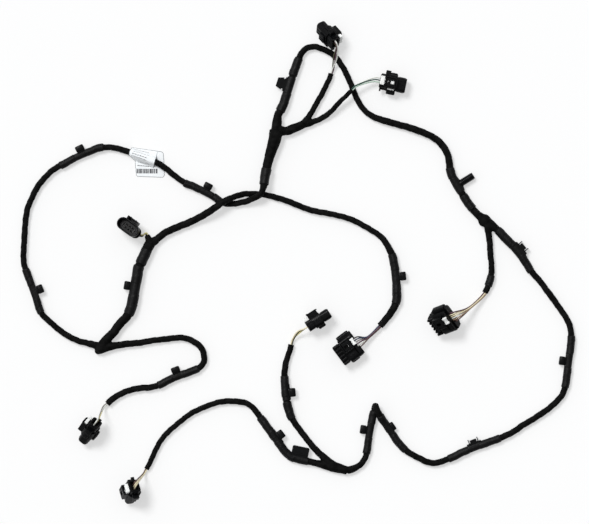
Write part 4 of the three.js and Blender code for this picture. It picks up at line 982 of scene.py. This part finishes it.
def wide_housing():
    length, width, height, corner = WIDE
    pitch = (width - 3) / 5
    insert = bmesh.new()
    solid_loft(insert, 3, length, width, height, corner, soften=0.7)
    holes = []
    for i in range(5):
        for z in (-2.8, 2.8):
            y = (i - 2) * pitch
            holes.append(((length - 3, y - 1.1, z - 1.3), (length + 1, y + 1.1, z + 1.3)))
    insert = carved(insert, *holes)
    rest = bmesh.new()
    outer = (width + 2 * WIDE_RING, height + 2 * WIDE_RING, corner + WIDE_RING)
    cup(rest, 6.4, WIDE_TO - 6, WIDE_TO, *outer, 1.5)
    cup(rest, 8, 6.4, 3, *outer, 5.6)
    side = width / 2
    for i in range(6):
        y = (i - 2.5) * pitch
        for z in (-height / 2, height / 2):
            hand = 1 if z > 0 else -1
            low, high = sorted((z - hand, z + hand * 2.3))
            block(rest, (WIDE_TO + 0.8, y - 1.25, low), (length - 0.4, y + 1.25, high), 0.55)
    for hand in (-1, 1):
        for z in (-3, 0, 3):
            low, high = sorted((hand * (side - 0.5), hand * (side + 0.6)))
            block(rest, (WIDE_TO + 1, low, z - 0.6), (length - 0.8, high, z + 0.6), 0.2)
    block(rest, (8.6, side, -4), (WIDE_TO - 0.6, side + 3.4, 3.4), 0.5)
    block(rest, (9.6, side + 2.8, -2.4), (WIDE_TO - 1.6, side + 3.7, 1.8), 0.25)
    block(rest, (1, 4, -4.4), (3.4, side + 1.8, 4.4), 0.4)
    solid_loft(rest, 2.6, 18.6, 8, 9, 2, -side - 2.6, 0.4, 0.8)
    block(rest, (4.4, -side - 6.9, -1), (17, -side - 5.8, 1.8), 0.3)
    solid_loft(rest, 0.6, 8, 10, 7, 2, -side + 0.4, 0, 0.6)
    for low, high in ((-11.6, -10), (0.9, 2.5)):
        block(rest, (7.4, low, WIDE_TOP - 2), (WIDE_TO, high, WIDE_RAIL_TOP), 0.35)
    block(rest, (9, 4.4, WIDE_TOP - 0.6), (WIDE_TO - 1, 10.6, WIDE_TOP + 1), 0.4)
    block(rest, (11, 6, WIDE_TOP + 0.4), (WIDE_TO - 2, 9, WIDE_TOP + 1.4), 0.3)
    block(rest, (WIDE_TO - 1.8, -10.4, WIDE_TOP - 1), (WIDE_TO - 0.4, 1.4, WIDE_ARM_TOP), 0.3)
    arm = bmesh.new()
    block(arm, (6.8, -9.7, WIDE_ARM_TOP - 1.3), (WIDE_TO + 0.8, 0.6, WIDE_ARM_TOP), 0.3)
    arm = carved(arm, ((11.6, -6, WIDE_ARM_TOP - 3), (17, -2.4, WIDE_ARM_TOP + 2)))
    press = bmesh.new()
    block(press, (6.8, -9.7, WIDE_ARM_TOP - 1), (8.9, 0.6, WIDE_ARM_TOP + 0.7), 0.35)
    ridges(press, (7.3, 7.9, 8.5), -9, 0, WIDE_ARM_TOP + 0.6)
    return joined(insert, rest, arm, press)


def wide_lock():
    bm = bmesh.new()
    low = WIDE_TOP + 0.3
    high = low + 1.1
    block(bm, (5, -7.4, low), (12, -1, high), 0.2)
    block(bm, (3.2, -8.2, low), (6.2, -0.6, high + 1.8), 0.3)
    for y in (-8.6, -2.2):
        block(bm, (2.4, y, low), (7.2, y + 2, high + 2.2), 0.3)
    return joined(bm)


def oval_housing():
    length, width, height, corner = OVAL
    rest = bmesh.new()
    cup(rest, OVAL_STEP, OVAL_FLOOR + 0.2, length, width, height, corner, OVAL_WALL)
    cup(rest, OVAL_STEP + 2, 4.5, 0, width - 4, height - 3, corner - 2.3, 3.6)
    solid_loft(rest, 8, 10.4, width + 2.4, height - 1, corner - 0.9, soften=0.4)
    top = height / 2
    for hand in (-1, 1):
        low, high = sorted((hand * 5.4, hand * 7.4))
        block(rest, (9, low, top - 1.6), (length - 0.6, high, top + 4), 0.4)
    block(rest, (9, -7.2, top - 1.6), (length - 0.8, 7.2, top + 0.4), 0.3)
    block(rest, (9, -7.2, top + 2.6), (length - 0.6, 7.2, top + 4), 0.4)
    block(rest, (9.2, -6, top), (length - 9, 6, top + 3.4), 0.3)
    for y in (-3.6, 3.6):
        block(rest, (OVAL_STEP + 3, y - 0.5, top + 3.6), (length - 1.4, y + 0.5, top + 4.4), 0.2)
    return joined(rest)


def oval_pins():
    bm = bmesh.new()
    inset = OVAL_WALL + 0.3
    low = OVAL_FLOOR + 0.3
    _, width, height, corner = OVAL
    solid_loft(
        bm, low, low + 1.6, width - 2 * inset, height - 2 * inset, corner - inset, soften=0.2,
    )
    for y in (-2 * PIN_PITCH + 0.6, 2 * PIN_PITCH - 0.6):
        block(bm, (low + 1.4, y - 0.5, -2.4), (low + 2.6, y + 0.5, 2.4), 0.2)
    carrier = len(bm.faces)
    for column in (-1, 0, 1):
        for row in (-1, 1):
            y, z = column * PIN_PITCH, row * PIN_ROW
            solid_loft(bm, low + 1, low + 7.2, 1.2, 1.2, 0.5, y, z, 0.3)
    bm.faces.ensure_lookup_table()
    for face in bm.faces[carrier:]:
        face.material_index = 1
    bmesh.ops.recalc_face_normals(bm, faces=bm.faces)
    return bm


def moulded(name, bm, materials, matrix, cad_node):
    bmesh.ops.transform(bm, matrix=matrix @ Matrix.Diagonal((MM, MM, MM, 1)), verts=bm.verts)
    keep_above_table(bm.verts)
    piece = add_object(name, bm, materials)
    piece.data.set_sharp_from_angle(angle=SHARP)
    normals = piece.modifiers.new("normals", "WEIGHTED_NORMAL")
    normals.keep_sharp = True
    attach(piece, "root")
    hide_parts(cad_node)


for name, (spot, heading, dip, roll, _, colours) in CONNECTORS.items():
    matrix = placed(spot, heading, dip, roll)
    if name == "oval":
        housing, second, finish = oval_housing(), oval_pins(), [BLACK, PIN]
        slot, node_name = "pin_metal", "oval_pins"
    elif len(colours) > SMALL_COUNT:
        housing, second, finish = wide_housing(), wide_lock(), [WHITE]
        slot, node_name = "white_plastic", f"{name}_lock"
    else:
        housing, second, finish = small_housing(), small_lock(name == "top_side"), [WHITE]
        slot, node_name = "white_plastic", f"{name}_lock"
    moulded(f"{name}_housing", housing, [BLACK], matrix, f"{name}_connector")
    moulded(f"{node_name}_fine", second, finish, matrix, node_name)

# Clips. Some keep their solid, with softened edges. The others get a head of their own, and
# tape holds the foot of each.

OWN_HEAD = re.compile("edge_clip|stud_clip|eye_clip")
CLIP_EDGE = 0.35 * MM
FOOT_OUT = 2.2 * MM  # a foot's outer face from the bundle
TAPE_LAP = 1.5 * MM
TAPE_VOXEL = 0.6 * MM
TAPE_SIDES = 20
CLIP_HEAD = (10, 8.4)  # across and high
CLIP_LOW = 0.1 * MM  # the lowest height of a head
STUD = 8.8
STUD_SIDES = 20
STUD_PITCH = 1.9


def dress(piece):
    piece.data.materials.clear()
    piece.data.materials.append(BLACK)
    piece.data.shade_flat()
    flatten = piece.modifiers.new("flatten", "DECIMATE")
    flatten.decimate_type = "DISSOLVE"
    flatten.angle_limit = math.radians(2)
    edge = piece.modifiers.new("edge", "BEVEL")
    edge.width = CLIP_EDGE
    edge.segments = 2
    edge.limit_method = "ANGLE"
    edge.angle_limit = math.radians(35)


for name in NODES:
    if "clip" in name and not OWN_HEAD.search(name):
        dress(NODES[name])


def seat_of(clip):
    """A clip's corners and middle, with the route, index and radius of the bundle under it."""
    corners = [clip.matrix_world @ vertex.co for vertex in clip.data.vertices]
    middle = sum(corners, Vector()) / len(corners)
    found = []
    for name, route in ROUTES.items():
        i = min(range(len(route.line)), key=lambda k: (route.line[k] - middle).length)
        found.append(((route.line[i] - middle).length, name, i))
    _, name, i = min(found)
    return corners, middle, ROUTES[name], i, own_radius(name, ROUTES[name])[i]


def clip_tape(clip):
    """Tape laid tight over a clip's foot and the bundle beside it."""
    corners, _, route, i, radius = seat_of(clip)
    along = route.along[i]
    foot = []
    for corner in corners:
        out = corner - route.line[i]
        if (out - along * out.dot(along)).length < radius + FOOT_OUT:
            foot.append(corner)
    if "eye" in clip.name:
        foot = [corner for corner in foot if (corner - route.line[i]).length < 2.5 * radius]
    reach = [(corner - route.line[i]).dot(along) for corner in foot]
    first, last = min(reach) - TAPE_LAP, max(reach) + TAPE_LAP
    side = along.cross(Vector((0, 0, 1))).normalized()
    up = side.cross(along)
    bm = bmesh.new()
    for corner in foot:
        bm.verts.new(corner + (corner - route.line[i]).normalized() * 0.25 * MM)
    for k in range(3):
        reached = route.run[i] + first + (last - first) * k / 2
        j = min(range(len(route.line)), key=lambda m: abs(route.run[m] - reached))
        for step in range(TAPE_SIDES):
            angle = 2 * math.pi * step / TAPE_SIDES
            out = (side * math.cos(angle) + up * math.sin(angle)) * (radius + BAND)
            bm.verts.new(route.line[j] + out)
    bmesh.ops.convex_hull(bm, input=bm.verts)
    keep_above_table(bm.verts)
    piece = add_object(f"{clip.name}_tape", bm, [SMOOTH])
    melt(piece, TAPE_VOXEL, rounds=4)
    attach(piece, "root")


def clip_head(clip):
    """The head of an edge clip or stud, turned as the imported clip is."""
    corners, middle, route, i, radius = seat_of(clip)
    base = route.line[i]
    along = route.along[i]
    out = middle - base
    out = (out - along * out.dot(along)).normalized()
    up = along.cross(out)
    reach = max((corner - base).dot(out) for corner in corners) / MM
    start = radius / MM - 1
    turn = Matrix((along, out, up)).transposed().to_4x4()
    bm = bmesh.new()
    if "stud" in clip.name:
        outward = Matrix.Rotation(-math.pi / 2, 4, "X")
        bmesh.ops.create_cone(
            bm, cap_ends=True, segments=STUD_SIDES, radius1=STUD / 2 - 0.5, radius2=STUD / 2 - 0.6,
            depth=reach - start, matrix=Matrix.Translation((0, (start + reach) / 2, 0)) @ outward,
        )
        y = start + 3.6
        while y < reach - 0.4:
            bmesh.ops.create_cone(
                bm, cap_ends=True, segments=STUD_SIDES, radius1=STUD / 2, radius2=STUD / 2 - 0.5,
                depth=1.1, matrix=Matrix.Translation((0, y, 0)) @ outward,
            )
            y += STUD_PITCH
    else:
        half, high = CLIP_HEAD[0] / 2, CLIP_HEAD[1] / 2
        if "eye" in clip.name:
            reach = start + 5.2
            high = 3.4
        block(bm, (-half, reach - 7, -high), (half, reach, high), 1.3)
        block(bm, (-half + 0.5, start, -high + 0.5), (half - 0.5, reach - 3, high - 0.5), 0.6)
        bmesh.ops.recalc_face_normals(bm, faces=bm.faces)
        if "eye" not in clip.name:
            for low, end in ((-half + 1.5, -half + 2.2), (half - 2.2, half - 1.5)):
                block(bm, (low, reach - 6, high - 0.4), (end, reach - 1, high + 0.5), 0.2)
            for low in (reach - 1.9, reach - 6):
                block(bm, (-half + 1.5, low, high - 0.4), (half - 1.5, low + 0.7, high + 0.5), 0.2)
    shift = Matrix.Translation(base) @ turn @ Matrix.Diagonal((MM, MM, MM, 1))
    bmesh.ops.transform(bm, matrix=shift, verts=bm.verts)
    lowest = min(vertex.co.z for vertex in bm.verts)
    lift = max(0, CLIP_LOW - lowest)
    bmesh.ops.translate(bm, vec=(0, 0, lift), verts=bm.verts)
    piece = add_object(f"{clip.name}_head", bm, [BLACK])
    piece.data.set_sharp_from_angle(angle=SHARP)
    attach(piece, "root")
    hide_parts(clip.name)


for name in NODES:
    if "clip" in name:
        clip_tape(NODES[name])
    if OWN_HEAD.search(name):
        clip_head(NODES[name])

# Label: a flag on the table and a front sheet closed over the bundle, printed with bars

FILM = 0.25 * MM
FLAG_LEFT = [(132.2, 147.6), (133.4, 153), (135, 159.8), (136.4, 175.2), (137.6, 176.3)]
FLAG_RIGHT = [(161.4, 151.7), (163.2, 153.2), (163.8, 160), (164.4, 175), (162.6, 177.2)]
FRONT_LEFT = [(132, 147.6), (129.8, 151.6), (129.2, 155), (134.6, 160.2)]
FRONT_RIGHT = [(157.4, 151.4), (156.2, 157), (154.4, 163), (153.2, 168)]
BAR_ROW = (136.6, 158, 168.8, 173.4)  # left, right, top and bottom
BARS = 18
LINES = [  # each from one board spot to another
    (135, 149.4, 149, 153), (134, 151.4, 149.5, 156), (133, 153.4, 148, 158.4),
    (132, 155.2, 147, 160.6), (138, 161.6, 150, 164.4), (137.4, 165.4, 152, 166.6),
]
DASHES = 12  # in a line
SHEET_COLUMNS = 56
SHEET_ROWS = 36
FLAG_HEIGHT = 0.2 * MM
BAR_LOW = 0.3 * MM
BAR_HIGH = 0.42 * MM
DASH_LIFT = 0.14 * MM
# Height, steps and radii of the grey edge tubes, which paint the shadow along the label film's edge.
FLAG_EDGE_SHADE_HEIGHT = 0.25 * MM
EDGE_SHADE_STEPS = 24
EDGE_SHADE_RADIUS = 0.26
THIN_EDGE_SHADE_RADIUS = 0.13


def on_polyline(line, share):
    place = share * (len(line) - 1)
    k = min(int(place), len(line) - 2)
    (x0, y0), (x1, y1) = line[k], line[k + 1]
    return x0 + (x1 - x0) * (place - k), y0 + (y1 - y0) * (place - k)


def front_height(spot):
    """How far the front sheet is lifted by the bundle under it."""
    route = ROUTES["loop"]
    i = route.nearest(spot)
    centre = route.line[i]
    radius = own_radius("loop", route)[i] + 0.4 * MM
    away = (centre.xy - spot.xy).length
    return 0.5 * MM + (centre.z + radius - 0.5 * MM) * math.exp(-((away / (1.3 * radius)) ** 4))


def sheet(name, left, right, height, material):
    bm = bmesh.new()
    grid = []
    for row in range(SHEET_ROWS + 1):
        x0, y0 = on_polyline(left, row / SHEET_ROWS)
        x1, y1 = on_polyline(right, row / SHEET_ROWS)
        line = []
        for column in range(SHEET_COLUMNS + 1):
            share = column / SHEET_COLUMNS
            spot = on_board(x0 + (x1 - x0) * share, y0 + (y1 - y0) * share, 0)
            spot.z = height(spot)
            line.append(bm.verts.new(spot))
        grid.append(line)
    for upper, lower in zip(grid, grid[1:]):
        for k in range(SHEET_COLUMNS):
            bm.faces.new((upper[k], lower[k], lower[k + 1], upper[k + 1]))
    piece = add_object(name, bm, [material])
    thick = piece.modifiers.new("thickness", "SOLIDIFY")
    thick.thickness = FILM
    thick.offset = 0
    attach(piece, "root")
    return piece


flag = sheet("label_flag", FLAG_LEFT, FLAG_RIGHT, lambda spot: FLAG_HEIGHT, PAPER)
sheet("label_front", FRONT_LEFT, FRONT_RIGHT, front_height, PAPER)
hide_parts("label")

bm = bmesh.new()
left, right, top, bottom = BAR_ROW
x = left
for k in range(BARS):
    wide = 0.6 + 0.9 * (math.sin(k * 2.3) ** 2)
    if x + wide > right:
        break
    low = on_board(x, bottom, BAR_LOW)
    high = on_board(x + wide, top, BAR_HIGH)
    block(bm, low, high, 0.02 * MM)
    x += wide + 0.25 + 0.45 * (math.sin(k * 1.7) ** 2)
for row, (x0, y0, x1, y1) in enumerate(LINES):
    for k in range(DASHES):
        share = (k + 0.15) / DASHES
        spot = on_board(x0 + (x1 - x0) * share, y0 + (y1 - y0) * share, 0)
        lift = front_height(spot) + DASH_LIFT
        size = Vector((0.5 + 0.25 * math.sin(k * 3.1 + row), 0.36, 0.04)) * MM
        middle = Vector((spot.x, spot.y, lift))
        block(bm, middle - size, middle + size, 0.01 * MM)
printed = add_object("label_print", bm, [PRINT])
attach(printed, "root")

# Grey tubes along the label's edges: painted shade, a dark line standing in for the shadow of the
# film's edge.
bm = bmesh.new()
for line, on_front, radius in (
    (FLAG_RIGHT, False, EDGE_SHADE_RADIUS),
    (FLAG_LEFT[2:], False, EDGE_SHADE_RADIUS),
    ((FLAG_LEFT[-1], FLAG_RIGHT[-1]), False, EDGE_SHADE_RADIUS),
    ((FRONT_LEFT[0], FLAG_RIGHT[0]), True, EDGE_SHADE_RADIUS),
    (FRONT_RIGHT, True, THIN_EDGE_SHADE_RADIUS),
    (FRONT_LEFT, True, EDGE_SHADE_RADIUS),
):
    places = []
    for k in range(EDGE_SHADE_STEPS + 1):
        spot = on_board(*on_polyline(line, k / EDGE_SHADE_STEPS), 0)
        spot.z = front_height(spot) if on_front else FLAG_EDGE_SHADE_HEIGHT
        places.append(spot)
    edge = Route(places)
    add_tube(bm, edge, lambda i, angle, thin=radius * MM: thin, 8)
edge_shade = add_object("label_rim", bm, [EDGE_SHADE])
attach(edge_shade, "root")

# Floor and light

FLOOR_SIZE = 6
FLOOR_DROP = 0.4 * MM  # the floor is this far below the table's height
FLOOR_GLOW = 0.5  # the share of the floor's colour that is light, to the camera
BRIGHT_SIDE = (-0.55, 0.62, 0.56)  # where the sky is strongest
SKY_LOW = 0.03
SKY_HIGH = 0.65
SUN_ENERGY = 2.15
SUN_ANGLE = math.radians(20)
SUN_DIRECTION = (0.42, -0.5, -1)


def floor_material():
    """White board; to the camera it is part light, so that only near shadows show."""
    material, tree = new_material("floor")
    shader = shader_of(tree)
    shader.inputs["Base Color"].default_value = (0.95, 0.955, 0.96, 1)
    shader.inputs["Roughness"].default_value = 0.9
    shader.inputs["Specular IOR Level"].default_value = 0.0
    paths = tree.nodes.new("ShaderNodeLightPath")
    share = node(tree, "ShaderNodeMath", operation="MULTIPLY")
    share.inputs[1].default_value = FLOOR_GLOW
    tree.links.new(paths.outputs["Is Camera Ray"], share.inputs[0])
    glow = node(tree, "ShaderNodeEmission", Strength=1.0)
    mix = tree.nodes.new("ShaderNodeMixShader")
    tree.links.new(share.outputs["Value"], mix.inputs["Fac"])
    tree.links.new(shader.outputs["BSDF"], mix.inputs[1])
    tree.links.new(glow.outputs["Emission"], mix.inputs[2])
    output = next(n for n in tree.nodes if n.type == "OUTPUT_MATERIAL")
    tree.links.new(mix.outputs["Shader"], output.inputs["Surface"])
    return material


bm = bmesh.new()
bmesh.ops.create_grid(bm, x_segments=1, y_segments=1, size=FLOOR_SIZE)
floor = add_object("floor", bm, [floor_material()], smooth=False)
floor.location.z = -FLOOR_DROP

world = bpy.data.worlds.new("world")
bpy.context.scene.world = world
world.use_nodes = True
background = world.node_tree.nodes["Background"]
background.inputs["Color"].default_value = (1, 1, 1, 1)
sky = world.node_tree
coordinates = sky.nodes.new("ShaderNodeTexCoord")
towards = node(sky, "ShaderNodeVectorMath", operation="DOT_PRODUCT")
towards.inputs[1].default_value = BRIGHT_SIDE
sky.links.new(coordinates.outputs["Generated"], towards.inputs[0])
level = node(sky, "ShaderNodeMapRange")
level.inputs["From Min"].default_value = -1
level.inputs["To Min"].default_value = SKY_LOW
level.inputs["To Max"].default_value = SKY_HIGH
sky.links.new(towards.outputs["Value"], level.inputs["Value"])
sky.links.new(level.outputs["Result"], background.inputs["Strength"])

sun_data = bpy.data.lights.new("sun", "SUN")
sun_data.energy = SUN_ENERGY
sun_data.angle = SUN_ANGLE
sun = bpy.data.objects.new("sun", sun_data)
bpy.context.scene.collection.objects.link(sun)
sun.rotation_mode = "QUATERNION"
sun.rotation_quaternion = Vector(SUN_DIRECTION).to_track_quat("-Z", "Y")

bpy.context.scene.view_settings.view_transform = "Standard"
